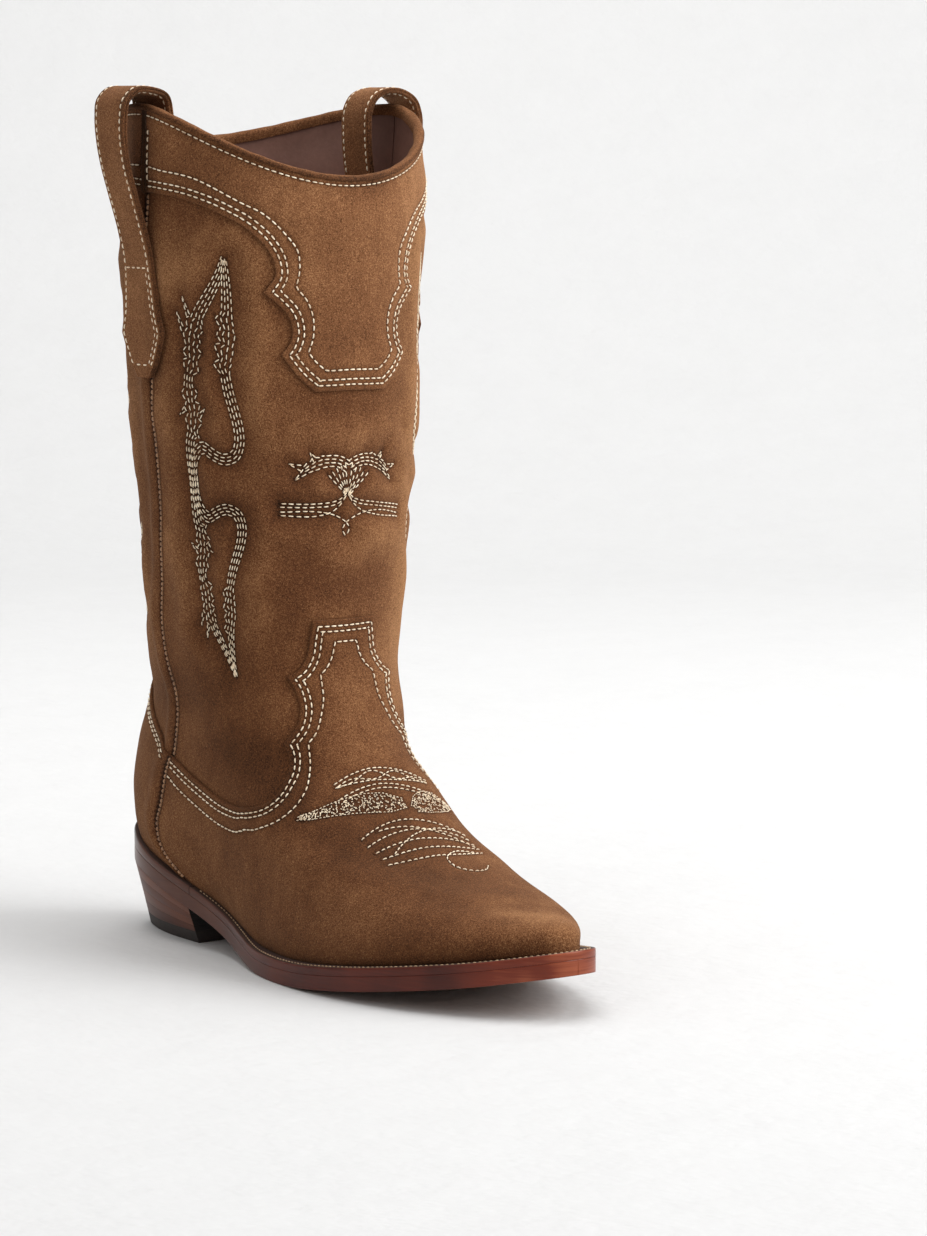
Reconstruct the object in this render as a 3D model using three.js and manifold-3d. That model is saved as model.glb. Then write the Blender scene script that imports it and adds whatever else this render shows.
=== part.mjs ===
// Western (cowboy) boot for the right foot, in millimetres.
// +Z is up, the toe points towards -Y and the outer (lateral) side of the foot faces -X.
// Lengths along the foot are written as F, measured forwards from the back of the heel (F = -Y).
import * as THREE from 'three';
import Module from 'manifold-3d';

const wasm = await Module();
wasm.setup();

// ---------------------------------------------------------------- driving dimensions
const LEATHER = 1.6;              // thickness of each suede panel
const LINING = 1.1;               // thickness of the lining leather
const GAP = 0.3;                  // clearance kept between pieces that touch
const LAYER_GAP = 0.75;           // clearance between the curved layers of the upper
const BASE = { inner: -LEATHER, outer: 0 };
const OVERLAY = { inner: LAYER_GAP, outer: LAYER_GAP + LEATHER };
const LINER = { inner: -LEATHER - LAYER_GAP - LINING, outer: -LEATHER - LAYER_GAP };

const TOPLINE_RISE = 21.8;        // how far the sides of the topline stand above its front and back
const RISE_START_T = 0.80;        // the rise fades in above this height share
const SEAM_GAP_U = 0.0045;        // half the gap at a side seam, as a share of the girth

const SOLE_THICKNESS = 9.6;       // welt and outsole together
const WELT_THICKNESS = 3.4;
const WELT_WIDTH = 10;            // how far the welt reaches in under the upper
const REVEAL = { heel: 1.8, forepart: 4.7, ends: 2 };   // the sole's edge past the upper
const HEEL_BREAST_F = 68;
const HEEL_BREAST_SLANT = 4.5;      // how much further back the breast is at the ground
const TOP_LIFT = 5.6;             // rubber top lift
const LIFT_COUNT = 4;
const HEEL_SIDE_TAPER = 0.235;    // how much narrower the heel is at the ground, at the breast
const HEEL_REAR_TAPER = { extra: 0.10, reach: 45 };   // further narrowing that grows behind the breast
const SHANK = { from: 28, to: 150, width: 15, thickness: 1.4 };
const INSOLE_THICKNESS = 2.4;
const SOCK_THICKNESS = 1.2;
const NAIL = { radius: 1.2, headRadius: 2.3, headThickness: 1.0, tipZ: 7 };
const NAIL_SPOTS = [[0, 18], [-12, 28], [12, 28], [-13, 46], [13, 46]];   // x, F
const STRAP_THICKNESS = 2.4;
const STRAP_F = 78;               // the pull straps sit over the side seams
const BINDING = { thickness: 1.0, drop: 4.5 };

// Top face of the sole along its centre line: F, height.
const SOLE_TOP = [
  [-12, 46], [0, 42.5], [30, 37.3], [63, 27.5], [90, 19.3], [110, 13.6], [128, 10.3],
  [146, 9.7], [166, 10.2], [192, 12.6], [225, 16.9], [252, 21], [290, 28.6],
];

// Rings of the upper, from the feather line (t = 0) to the topline (t = 1).
// t, front F, front Z, back F, back Z, outer half width, inner half width, F of the widest
// place, toe bluntness, heel squareness, waist hollow outside, waist hollow inside,
// narrowing towards the heel, share of the sole's curve that the ring follows.
const RINGS = [
  [0.00, 275.4, 26.1, 5.2, 41.8, 45.6, 41.8, 172, 0.70, 10.0, 0.22, 0.32, 0.30, 1.00],
  [0.06, 274.4, 33.0, 0.5, 53, 46.6, 44.6, 172, 0.68, 7.0, 0.18, 0.27, 0.25, 0.88],
  [0.12, 264.6, 37.0, -1.0, 66, 44.2, 44.8, 164, 0.66, 6.0, 0.13, 0.19, 0.18, 0.66],
  [0.20, 238.6, 41.8, 2.5, 84, 40.8, 43.8, 137, 0.62, 4.5, 0.06, 0.10, 0.10, 0.40],
  [0.30, 194.8, 53.2, 9.0, 100, 38.8, 44.8, 108, 0.58, 3.2, 0.00, 0.00, 0.04, 0.20],
  [0.40, 149.6, 82.2, 13.4, 117, 39.0, 47.8, 87, 0.52, 2.6, 0.00, 0.00, 0.00, 0.06],
  [0.48, 131.2, 118, 14.2, 131, 43.0, 53.2, 79, 0.50, 2.2, 0.00, 0.00, 0.00, 0.00],
  [0.58, 131.8, 156, 14.5, 162, 48.0, 57.5, 79, 0.50, 2.0, 0.00, 0.00, 0.00, 0.00],
  [0.72, 135.0, 208, 14.5, 216, 55.0, 61.5, 81, 0.50, 2.0, 0.00, 0.00, 0.00, 0.00],
  [0.86, 136.2, 265, 14.5, 275, 60.0, 64.5, 82, 0.50, 2.0, 0.00, 0.00, 0.00, 0.00],
  [1.00, 137.5, 322, 16.5, 337, 63.0, 64.0, 83, 0.50, 2.0, 0.00, 0.00, 0.00, 0.00],
];
const WAIST = { F: 88, reach: 42 };   // centre and reach of the waist hollow
const TOE_SNIP = { width: 3, topT: 0.25 };   // extra half width of the squared toe tip

// Side seam: height share t, position round the girth u (0 front, 0.25 side, 0.5 back).
const SEAM = [
  [0, 0.358], [0.03, 0.373], [0.087, 0.378], [0.14, 0.368], [0.22, 0.350], [0.31, 0.324],
  [0.40, 0.298], [0.47, 0.288], [0.52, 0.284], [0.60, 0.267], [0.70, 0.259], [0.85, 0.253],
  [1, 0.25],
];
// Panel edges: distance from the centre line as a share of the way to the side seam, height t.
const VAMP_EDGE = [
  [0, 0.54], [0.17, 0.54], [0.25, 0.485], [0.32, 0.44], [0.41, 0.415], [0.50, 0.37],
  [0.60, 0.33], [0.75, 0.275], [0.87, 0.25], [1, 0.266],
];
const COUNTER_EDGE = [[0, 0.40], [0.20, 0.39], [0.60, 0.345], [0.80, 0.308], [1, 0.262]];
const COLLAR_EDGE = [
  [0, 0.79], [0.17, 0.79], [0.25, 0.81], [0.32, 0.87], [0.41, 0.92], [0.50, 0.937],
  [0.60, 0.944], [1, 0.942],
];
// Every layer of the upper bends along the same lines, so that layers never touch.
const FRONT_FOLDS = [0, 0.08, 0.17, 0.25, 0.32, 0.41, 0.50, 0.60, 0.75, 0.87, 1];
const BACK_FOLDS = [0, 0.20, 0.40, 0.60, 0.80, 1];
const LEVELS = [
  0.012, 0.04, 0.07, 0.11, 0.15, 0.19, 0.236, 0.28, 0.33, 0.385, 0.43, 0.47, 0.51, 0.54,
  0.62, 0.71, 0.80, 0.88, 0.94, 0.988,
];
const FEATHER_T = LEVELS[0];      // where the upper starts above the sole, as a share of its height
const PANEL_TOP_T = LEVELS.at(-1);   // where panels and linings stop below the topline
const LINING_JOIN_T = 0.266;      // where the foot lining meets the shaft lining
const PANEL_OVERLAP_T = 0.02;     // how far the shaft panels reach in under the foot panels

// Pull straps: distance out from the shaft's side, height; from the inside end to the outside end.
const STRAP_LATERAL = [
  [-8.5, 298], [-9.4, 331], [-10, 346], [-7.4, 353.4], [0, 356], [8.5, 355.6], [13.2, 351.5],
  [14.6, 345], [14.6, 336], [13.4, 327], [10.4, 315], [6.4, 300], [4.4, 290], [3.6, 280],
  [3.4, 266], [3.4, 241],
];
const STRAP_MEDIAL = [
  [-8, 297], [-12.5, 310], [-17.2, 322], [-18.6, 332], [-19, 341], [-18.4, 349], [-15, 354.4],
  [-8.5, 357], [-1, 356.4], [5, 352.8], [7.4, 347], [7.6, 338], [7.2, 325], [5.8, 306],
  [4.3, 286], [3.6, 266], [3.6, 241],
];
// Strap half width along its length: share of the length, half width.
const STRAP_WIDTH = [
  [0, 9.5], [0.68, 9.5], [0.78, 10.2], [0.86, 12], [0.905, 14.5], [0.93, 12.5], [1, 5],
];
// Half width of the shaft beside each strap: at the foot of the strap, and its growth with height.
const STRAP_FOOT_Z = 241;
const SHAFT_SIDE = { lateral: { x: 57.9, lean: 0.048 }, medial: { x: 64.2, lean: 0.005 } };

// ---------------------------------------------------------------- small maths
const clamp = (x, lo, hi) => Math.min(hi, Math.max(lo, x));
const mix = (a, b, s) => a + (b - a) * s;
const steps = (from, to, count) => Array.from({ length: count + 1 }, (_, i) => mix(from, to, i / count));

// Straight-line lookup in a table of [x, y].
function along(table, x) {
  const last = table.length - 2;
  const i = clamp(table.findIndex((row) => row[0] > x) - 1, 0, last);
  const from = x >= table[last + 1][0] ? last : i;
  const [a, b] = [table[from], table[from + 1]];
  return mix(a[1], b[1], clamp((x - a[0]) / (b[0] - a[0]), 0, 1));
}

// Smooth lookup in a table whose first column is the key: a cubic through every row.
function smooth(table, key) {
  const x = clamp(key, table[0][0], table.at(-1)[0]);
  let i = 0;
  while (i < table.length - 2 && table[i + 1][0] <= x) i += 1;
  const slope = (k, c) => (table[k + 1][c] - table[k][c]) / (table[k + 1][0] - table[k][0]);
  const tangent = (k, c) => {
    if (k === 0) return slope(0, c);
    if (k === table.length - 1) return slope(k - 1, c);
    const before = table[k][0] - table[k - 1][0];
    const after = table[k + 1][0] - table[k][0];
    return (slope(k - 1, c) * after + slope(k, c) * before) / (before + after);
  };
  const h = table[i + 1][0] - table[i][0];
  const s = (x - table[i][0]) / h;
  return table[i].slice(1).map((_, n) => {
    const c = n + 1;
    return (2 * s ** 3 - 3 * s ** 2 + 1) * table[i][c] + (s ** 3 - 2 * s ** 2 + s) * h * tangent(i, c)
      + (3 * s ** 2 - 2 * s ** 3) * table[i + 1][c] + (s ** 3 - s ** 2) * h * tangent(i + 1, c);
  });
}

const soleTop = (F) => smooth(SOLE_TOP, F)[0];

// ---------------------------------------------------------------- the upper as a chart
// A point of the upper's outer face: t is the height share, u the place round the girth.
function upper(t, u) {
  const [frontF, frontZ, backF, backZ, outer, inner, widestF, blunt, square, hollowOut, hollowIn,
    taper, sag] = smooth(RINGS, t);
  const c = Math.cos(2 * Math.PI * u);
  const lateral = Math.sin(2 * Math.PI * u) >= 0;
  const reach = Math.abs(c);
  const F = c >= 0 ? mix(widestF, frontF, reach) : mix(widestF, backF, reach);
  const plan = c >= 0
    ? Math.max(0, 1 - reach ** 2) ** blunt
    : Math.sqrt(Math.max(0, 1 - reach ** square));
  const hollow = (lateral ? hollowOut : hollowIn) * Math.exp(-(((F - WAIST.F) / WAIST.reach) ** 2));
  const narrowing = 1 - taper * clamp((widestF - F) / (widestF - backF), 0, 1) ** 1.3;
  const corner = clamp(Math.sqrt(Math.max(0, 1 - c ** 2)) / 0.18, 0, 1);
  const snip = c > 0 ? TOE_SNIP.width * corner * reach ** 24 * clamp(1 - t / TOE_SNIP.topT, 0, 1) : 0;
  const halfWidth = (lateral ? outer : inner) * plan * narrowing * (1 - hollow) + snip;
  const [, toeF, toeZ, heelF, heelZ] = RINGS[0];
  const chord = heelZ + (toeZ - heelZ) * (F - heelF) / (toeF - heelF);
  const straight = backZ + (frontZ - backZ) * (F - backF) / (frontF - backF);
  const rise = TOPLINE_RISE * clamp((t - RISE_START_T) / (1 - RISE_START_T), 0, 1) ** 1.6
    * (1 - reach ** 1.7);
  const z = straight + sag * (soleTop(F) - chord) + rise;
  return new THREE.Vector3(lateral ? -halfWidth : halfWidth, -F, z);
}

// Outward direction of the upper's face; level at the feather line, where the upper stands on the sole.
function outward(t, u) {
  const e = 0.004;
  const up = upper(Math.min(1, t + e), u).sub(upper(Math.max(0, t - e), u));
  const round = upper(t, u + e).sub(upper(t, u - e));
  const n = up.cross(round).normalize();
  n.z *= clamp(t / 0.08, 0, 1);
  return n.normalize();
}

const offset = (t, u, distance) => upper(t, u).addScaledVector(outward(t, u), distance);
const seam = (t) => smooth(SEAM, t)[0];
const frontU = (v, t) => v * (seam(t) - SEAM_GAP_U);                  // v from -1 to 1, seam to seam
const backU = (v, t) => 0.5 + v * (0.5 - seam(t) - SEAM_GAP_U);

// ---------------------------------------------------------------- closed meshes
// Collects faces and turns them into one closed geometry with its faces pointing out.
class Solid {
  constructor() {
    this.points = [];
    this.faces = [];
    this.seen = new Map();
  }
  id(p) {
    const key = [p.x, p.y, p.z].map((n) => Math.round(n * 1e4)).join();
    if (!this.seen.has(key)) {
      this.seen.set(key, this.points.length);
      this.points.push(p);
    }
    return this.seen.get(key);
  }
  triangle(a, b, c) {
    const ids = [this.id(a), this.id(b), this.id(c)];
    if (new Set(ids).size === 3) this.faces.push(ids);
  }
  quad(a, b, c, d) {
    this.triangle(a, b, c);
    this.triangle(a, c, d);
  }
  geometry() {
    const volume = this.faces.reduce((sum, [a, b, c]) => sum
      + this.points[a].dot(new THREE.Vector3().crossVectors(this.points[b], this.points[c])), 0);
    const index = this.faces.flatMap(([a, b, c]) => (volume < 0 ? [a, c, b] : [a, b, c]));
    const geometry = new THREE.BufferGeometry();
    geometry.setAttribute('position', new THREE.Float32BufferAttribute(
      this.points.flatMap((p) => [p.x, p.y, p.z]), 3));
    geometry.setIndex(index);
    return geometry;
  }
}

// Joins a row of sections, each a closed loop of the same number of points.
function loft(sections, closed = false) {
  const solid = new Solid();
  const count = sections[0].length;
  const last = closed ? sections.length : sections.length - 1;
  for (let i = 0; i < last; i += 1) {
    const [a, b] = [sections[i], sections[(i + 1) % sections.length]];
    for (let k = 0; k < count; k += 1) {
      const next = (k + 1) % count;
      solid.quad(a[k], b[k], b[next], a[next]);
    }
  }
  if (!closed) {
    const first = sections[0];
    const end = sections.at(-1);
    for (let k = 1; k < count - 1; k += 1) {
      solid.triangle(first[0], first[k], first[k + 1]);
      solid.triangle(end[0], end[k + 1], end[k]);
    }
  }
  return solid.geometry();
}

// A sheet of leather in one layer of the upper. girth(column, t) gives the place round the girth;
// low(column) and high(column) bound the sheet, which bends on the shared levels in between.
function sheet(columns, layer, girth, low, high, closed = false) {
  const solid = new Solid();
  const rows = LEVELS.length + 1;
  const level = (column, row) => {
    if (row === 0) return low(column);
    return row === rows ? high(column) : clamp(LEVELS[row - 1], low(column), high(column));
  };
  const grid = (distance) => columns.map((column) => steps(0, rows, rows).map((row) => {
    const t = level(column, row);
    return offset(t, girth(column, t), distance);
  }));
  const outer = grid(layer.outer);
  const inner = grid(layer.inner);
  const last = closed ? columns.length : columns.length - 1;
  for (let i = 0; i < last; i += 1) {
    const j = (i + 1) % columns.length;
    for (let r = 0; r < rows; r += 1) {
      solid.quad(outer[i][r], outer[i][r + 1], outer[j][r + 1], outer[j][r]);
      solid.quad(inner[i][r], inner[j][r], inner[j][r + 1], inner[i][r + 1]);
    }
    solid.quad(outer[i][0], outer[j][0], inner[j][0], inner[i][0]);
    solid.quad(outer[i][rows], inner[i][rows], inner[j][rows], outer[j][rows]);
  }
  if (!closed) {
    for (let r = 0; r < rows; r += 1) {
      solid.quad(outer[0][r], inner[0][r], inner[0][r + 1], outer[0][r + 1]);
      solid.quad(outer[last][r], outer[last][r + 1], inner[last][r + 1], inner[last][r]);
    }
  }
  return solid.geometry();
}

// A slab between two outlines given as pairs of outer-side and inner-side points.
function slab(topPairs, bottomPairs) {
  const solid = new Solid();
  for (let i = 0; i < topPairs.length - 1; i += 1) {
    const [t0, t1, b0, b1] = [topPairs[i], topPairs[i + 1], bottomPairs[i], bottomPairs[i + 1]];
    solid.quad(t0[0], t1[0], t1[1], t0[1]);
    solid.quad(b0[0], b0[1], b1[1], b1[0]);
    solid.quad(t0[0], b0[0], b1[0], t1[0]);
    solid.quad(t0[1], t1[1], b1[1], b0[1]);
  }
  const ends = [[topPairs[0], bottomPairs[0]], [topPairs.at(-1), bottomPairs.at(-1)]];
  ends.forEach(([top, bottom], k) => {
    if (k === 0) solid.quad(top[0], top[1], bottom[1], bottom[0]);
    else solid.quad(top[0], bottom[0], bottom[1], top[1]);
  });
  return solid.geometry();
}

// ---------------------------------------------------------------- cutting
function toManifold(geometry) {
  return new wasm.Manifold(new wasm.Mesh({
    numProp: 3,
    vertProperties: new Float32Array(geometry.getAttribute('position').array),
    triVerts: new Uint32Array(geometry.index.array),
  }));
}

function cut(geometry, tools) {
  let solid = toManifold(geometry);
  for (const tool of tools) solid = solid.subtract(toManifold(tool));
  const mesh = solid.getMesh();
  const result = new THREE.BufferGeometry();
  result.setAttribute('position', new THREE.Float32BufferAttribute(mesh.vertProperties, 3));
  result.setIndex([...mesh.triVerts]);
  return result;
}

// An upright round bar of stacked cylinders: [radius, from Z, to Z] upwards, on the line (x, F).
function upright(x, F, bands, sides = 12) {
  const ring = (radius, z) => Array.from({ length: sides }, (_, k) => {
    const a = (2 * Math.PI * k) / sides;
    return new THREE.Vector3(x + radius * Math.cos(a), -F + radius * Math.sin(a), z);
  });
  return loft(bands.flatMap(([radius, from, to]) => [ring(radius, from), ring(radius, to)]));
}

// ---------------------------------------------------------------- the sole in plan
// How far the sole's edge stands out past the upper: full at the forepart, close at waist and heel.
function reveal(F) {
  const forepart = clamp((F - 95) / 60, 0, 1);
  const tip = clamp((F - 245) / 30, 0, 1);
  const back = clamp((20 - F) / 20, 0, 1);
  const side = mix(REVEAL.heel, REVEAL.forepart, forepart ** 2 * (3 - 2 * forepart));
  return side + REVEAL.ends * (tip + back) + OVERLAY.outer;
}

// A point of the feather line moved sideways in plan by a distance, at a chosen height.
function plan(u, distance, height) {
  const p = offset(0, u, 0);
  const n = outward(0, u);
  const q = p.addScaledVector(n, distance(-p.y));
  return new THREE.Vector3(q.x, q.y, height(-q.y));
}

// Pairs of points on the two sides, from the front to the back of the stretch.
function pairs(us, distance, height) {
  return us.map((u) => [plan(u, distance, height), plan(-u, distance, height)]);
}

const soleEdge = (F) => reveal(F);
const insideUpper = () => LINER.inner - GAP - 1;
const under = (distance) => (F) => soleTop(F) - distance;
// Girth position at which an outline reaches a given F.
function girthAt(F, distance) {
  let [lo, hi] = [0, 0.5];
  for (let i = 0; i < 40; i += 1) {
    const mid = (lo + hi) / 2;
    if (-plan(mid, distance, () => 0).y > F) lo = mid;
    else hi = mid;
  }
  return (lo + hi) / 2;
}

const TOE_TO_HEEL = steps(0, 0.5, 44);

function outsole() {
  const top = pairs(TOE_TO_HEEL, soleEdge, under(WELT_THICKNESS + GAP));
  const bottom = pairs(TOE_TO_HEEL, soleEdge, under(SOLE_THICKNESS));
  return cut(slab(top, bottom), NAIL_SPOTS.map(([x, F]) => nailHole(x, F)));
}

// The welt (forepart) and the heel rand: a strip round the edge of the sole, on top of the outsole.
function edgeStrip(us, thickness) {
  const innerEdge = (F) => reveal(F) - WELT_WIDTH;
  return loft(us.map((u) => [
    plan(u, soleEdge, under(0)), plan(u, innerEdge, under(0)),
    plan(u, innerEdge, under(thickness)), plan(u, soleEdge, under(thickness)),
  ]));
}

const breastU = girthAt(HEEL_BREAST_F, soleEdge);
const welt = () => edgeStrip(steps(-breastU + 0.002, breastU - 0.002, 64), WELT_THICKNESS);
const heelRand = () => edgeStrip(steps(breastU + 0.002, 1 - breastU - 0.002, 24), WELT_THICKNESS);

function shankPairs(grow, height) {
  return steps(SHANK.to + grow, SHANK.from - grow, 14).map((F) => [-1, 1].map((side) => (
    new THREE.Vector3(side * (SHANK.width / 2 + grow), -F, height(F)))));
}

function shank() {
  return slab(shankPairs(0, under(GAP)), shankPairs(0, under(GAP + SHANK.thickness)));
}

function bottomFiller() {
  const edge = (F) => reveal(F) - WELT_WIDTH - GAP;
  const top = pairs(TOE_TO_HEEL, edge, under(GAP));
  const bottom = pairs(TOE_TO_HEEL, edge, under(WELT_THICKNESS));
  const channel = slab(shankPairs(GAP, under(-GAP)), shankPairs(GAP, under(2 * GAP + SHANK.thickness)));
  const heads = NAIL_SPOTS.map(([x, F]) => upright(x, F, [[NAIL.headRadius + GAP, 0, 60]]));
  return cut(slab(top, bottom), [channel, ...heads]);
}

function insole(from, thickness, inset) {
  const edge = (F) => insideUpper(F) - inset;
  return slab(pairs(TOE_TO_HEEL, edge, under(-from - thickness)), pairs(TOE_TO_HEEL, edge, under(-from)));
}

// ---------------------------------------------------------------- the heel
const soleBottom = (F) => soleTop(F) - SOLE_THICKNESS;

// Outline of the heel on a surface of the given height; the heel tapers from the sole to the ground.
function heelPairs(height) {
  return steps(breastU, 0.5, 12).map((u) => [u, -u].map((around) => {
    const p = plan(around, soleEdge, () => 0);
    const F = Math.min(HEEL_BREAST_F, -p.y);
    const z = height(F);
    const taper = 1 - z / soleBottom(F);
    const length = 1 - (HEEL_BREAST_SLANT / HEEL_BREAST_F) * taper;
    const rear = clamp((HEEL_BREAST_F - F) / HEEL_REAR_TAPER.reach, 0, 1);
    const narrowing = (HEEL_SIDE_TAPER + HEEL_REAR_TAPER.extra * rear) * taper;
    const front = HEEL_BREAST_F - HEEL_BREAST_SLANT * taper;
    return new THREE.Vector3(p.x * (1 - narrowing), -front + (HEEL_BREAST_F - F) * length, z);
  }));
}

// Height of the joint below lift k of the stack, measured at F; joint 0 is the underside of the sole.
const joint = (k) => (F) => mix(soleBottom(F), TOP_LIFT, k / LIFT_COUNT);

function heelLift(k) {
  const piece = slab(heelPairs((F) => joint(k)(F) - GAP), heelPairs(joint(k + 1)));
  return cut(piece, NAIL_SPOTS.map(([x, F]) => nailHole(x, F)));
}

const topLift = () => slab(heelPairs(() => TOP_LIFT - GAP), heelPairs(() => 0));

function nailHole(x, F) {
  return upright(x, F, [[NAIL.radius + GAP, NAIL.tipZ - GAP, 80]]);
}

function nail([x, F]) {
  const headTop = soleTop(F) - GAP * 2;
  const headBottom = headTop - NAIL.headThickness;
  return upright(x, F, [
    [NAIL.radius * 0.4, NAIL.tipZ, NAIL.tipZ],
    [NAIL.radius, NAIL.tipZ + 3, headBottom],
    [NAIL.headRadius, headBottom, headTop],
  ]);
}

// ---------------------------------------------------------------- the upper's pieces
const mirrored = (half) => [...half.slice(1).reverse().map((v) => -v), ...half];
const frontColumns = mirrored(FRONT_FOLDS);
const backColumns = mirrored(BACK_FOLDS);

const byDistance = (edge) => (v) => along(edge, Math.abs(v));
const vampEdge = byDistance(VAMP_EDGE);
const counterEdge = byDistance(COUNTER_EDGE);
const collarEdge = byDistance(COLLAR_EDGE);
const feather = () => FEATHER_T;
const panelTop = () => PANEL_TOP_T;
const frontSheet = (layer, low, high) => sheet(frontColumns, layer, frontU, low, high);
const backSheet = (layer, low, high) => sheet(backColumns, layer, backU, low, high);

function toePuff() {
  const columns = mirrored(FRONT_FOLDS.filter((v) => v <= 0.41));
  return sheet(columns, BASE, frontU, feather, () => 0.15);
}

function heelStiffener() {
  return backSheet(BASE, feather, byDistance([[0, 0.28], [0.60, 0.25], [1, 0.15]]));
}

// The lining of the foot runs all the way round, like a sock.
function footLining() {
  const front = frontColumns.map((v) => ({ v, place: frontU }));
  const back = backColumns.map((v) => ({ v, place: backU }));
  const girth = ({ v, place }, t) => place(v, t);
  return sheet([...front, ...back], LINER, girth, feather, () => LINING_JOIN_T, true);
}

const shaftLiningLow = () => LINING_JOIN_T + 0.006;

// Narrow rounded strip that fills the side seam of the shaft.
function sideWelt(side) {
  return loft(steps(0.30, PANEL_TOP_T, 18).map((t) => {
    const half = 0.0028;
    const middle = seam(t);
    return [[-half, BASE.inner], [-half, 0.6], [0, 1.3], [half, 0.6], [half, BASE.inner]]
      .map(([du, distance]) => offset(t, side * (middle + du), distance));
  }));
}

// Soft leather folded over the top edge of the shaft.
function toplineBinding() {
  const aroundGirth = steps(0, 1, 44).slice(0, -1);
  const out = OVERLAY.outer + GAP;
  const inn = LINER.inner - GAP;
  const { thickness, drop } = BINDING;
  const profile = [
    [out, -drop], [out + thickness, -drop], [out + thickness, 0.4], [(out + inn) / 2, 1.2],
    [inn - thickness, 0.4], [inn - thickness, -drop], [inn, -drop], [inn, -0.7], [out, -0.7],
  ];
  return loft(aroundGirth.map((u) => {
    const top = upper(1, u);
    const up = upper(1, u).sub(upper(0.99, u)).normalize();
    const n = outward(1, u);
    return profile.map(([across, height]) => top.clone()
      .addScaledVector(n, across).addScaledVector(up, height));
  }), true);
}

function pullStrap(path, side, shaftSide) {
  const points = path.map(([out, z]) => {
    const shaft = shaftSide.x + (z - STRAP_FOOT_Z) * shaftSide.lean;
    return new THREE.Vector3(side * (shaft + out), -STRAP_F, z);
  });
  const curve = new THREE.CatmullRomCurve3(points, false, 'centripetal');
  return loft(steps(0, 1, 34).map((share) => {
    const p = curve.getPointAt(share);
    const tangent = curve.getTangentAt(share);
    const n = new THREE.Vector3(-tangent.z, 0, tangent.x).multiplyScalar(STRAP_THICKNESS / 2);
    const half = along(STRAP_WIDTH, share);
    return [[1, 1], [-1, 1], [-1, -1], [1, -1]].map(([a, b]) => (
      new THREE.Vector3(p.x + a * n.x, p.y + b * half, p.z + a * n.z)));
  }));
}

// ---------------------------------------------------------------- materials
const FINISHES = {
  suede: { color: 0x7a5230, roughness: 0.95, metalness: 0 },
  suedeLight: { color: 0x875c38, roughness: 0.95, metalness: 0 },
  lining: { color: 0x6b4a40, roughness: 0.6, metalness: 0 },
  solePolished: { color: 0x7d3c26, roughness: 0.35, metalness: 0 },
  stackedLeather: { color: 0x66453a, roughness: 0.45, metalness: 0 },
  rubber: { color: 0x2b2725, roughness: 0.8, metalness: 0 },
  board: { color: 0xa88b68, roughness: 0.9, metalness: 0 },
  cork: { color: 0xb08a5c, roughness: 0.95, metalness: 0 },
  stiffener: { color: 0xd8cdb8, roughness: 0.8, metalness: 0 },
  steel: { color: 0x9a9a98, roughness: 0.4, metalness: 1 },
};

const boot = new THREE.Group();

function add(name, geometry, finish) {
  geometry.computeVertexNormals();
  const mesh = new THREE.Mesh(geometry, new THREE.MeshStandardMaterial(FINISHES[finish]));
  mesh.name = name;
  boot.add(mesh);
}

// ---------------------------------------------------------------- assembly
add('outsole', outsole(), 'solePolished');
add('welt', welt(), 'solePolished');
add('heel_rand', heelRand(), 'stackedLeather');
add('bottom_filler', bottomFiller(), 'cork');
add('shank', shank(), 'steel');
add('insole', insole(GAP, INSOLE_THICKNESS, 0), 'board');
add('sock_liner', insole(GAP * 2 + INSOLE_THICKNESS, SOCK_THICKNESS, 0.4), 'lining');

for (let k = 0; k < LIFT_COUNT; k += 1) add(`heel_lift_${k + 1}`, heelLift(k), 'stackedLeather');
add('heel_top_lift', topLift(), 'rubber');
NAIL_SPOTS.forEach((spot, k) => add(`heel_nail_${k + 1}`, nail(spot), 'steel'));

add('vamp', frontSheet(OVERLAY, feather, vampEdge), 'suedeLight');
add('counter', backSheet(OVERLAY, feather, counterEdge), 'suede');
add('toe_puff', toePuff(), 'stiffener');
add('heel_stiffener', heelStiffener(), 'stiffener');
add('shaft_front', frontSheet(BASE, (v) => vampEdge(v) - PANEL_OVERLAP_T, panelTop), 'suede');
add('shaft_back', backSheet(BASE, (v) => counterEdge(v) - PANEL_OVERLAP_T, panelTop), 'suede');
add('collar_front', frontSheet(OVERLAY, collarEdge, panelTop), 'suedeLight');
add('collar_back', backSheet(OVERLAY, collarEdge, panelTop), 'suedeLight');
add('side_welt_lateral', sideWelt(1), 'suedeLight');
add('side_welt_medial', sideWelt(-1), 'suedeLight');
add('foot_lining', footLining(), 'lining');
add('shaft_lining_front', frontSheet(LINER, shaftLiningLow, panelTop), 'lining');
add('shaft_lining_back', backSheet(LINER, shaftLiningLow, panelTop), 'lining');
add('topline_binding', toplineBinding(), 'suedeLight');
add('pull_strap_lateral', pullStrap(STRAP_LATERAL, -1, SHAFT_SIDE.lateral), 'suede');
add('pull_strap_medial', pullStrap(STRAP_MEDIAL, 1, SHAFT_SIDE.medial), 'suede');

// The origin is the middle of the footprint box, on the ground.
const box = new THREE.Box3().setFromObject(boot);
const middle = box.getCenter(new THREE.Vector3());
boot.position.set(-middle.x, -middle.y, -box.min.z);
boot.updateMatrixWorld(true);

export default boot;
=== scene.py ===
import json
import math

import bpy
import numpy as np
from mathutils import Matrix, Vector
from mathutils.geometry import delaunay_2d_cdt
from mathutils.kdtree import KDTree


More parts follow.
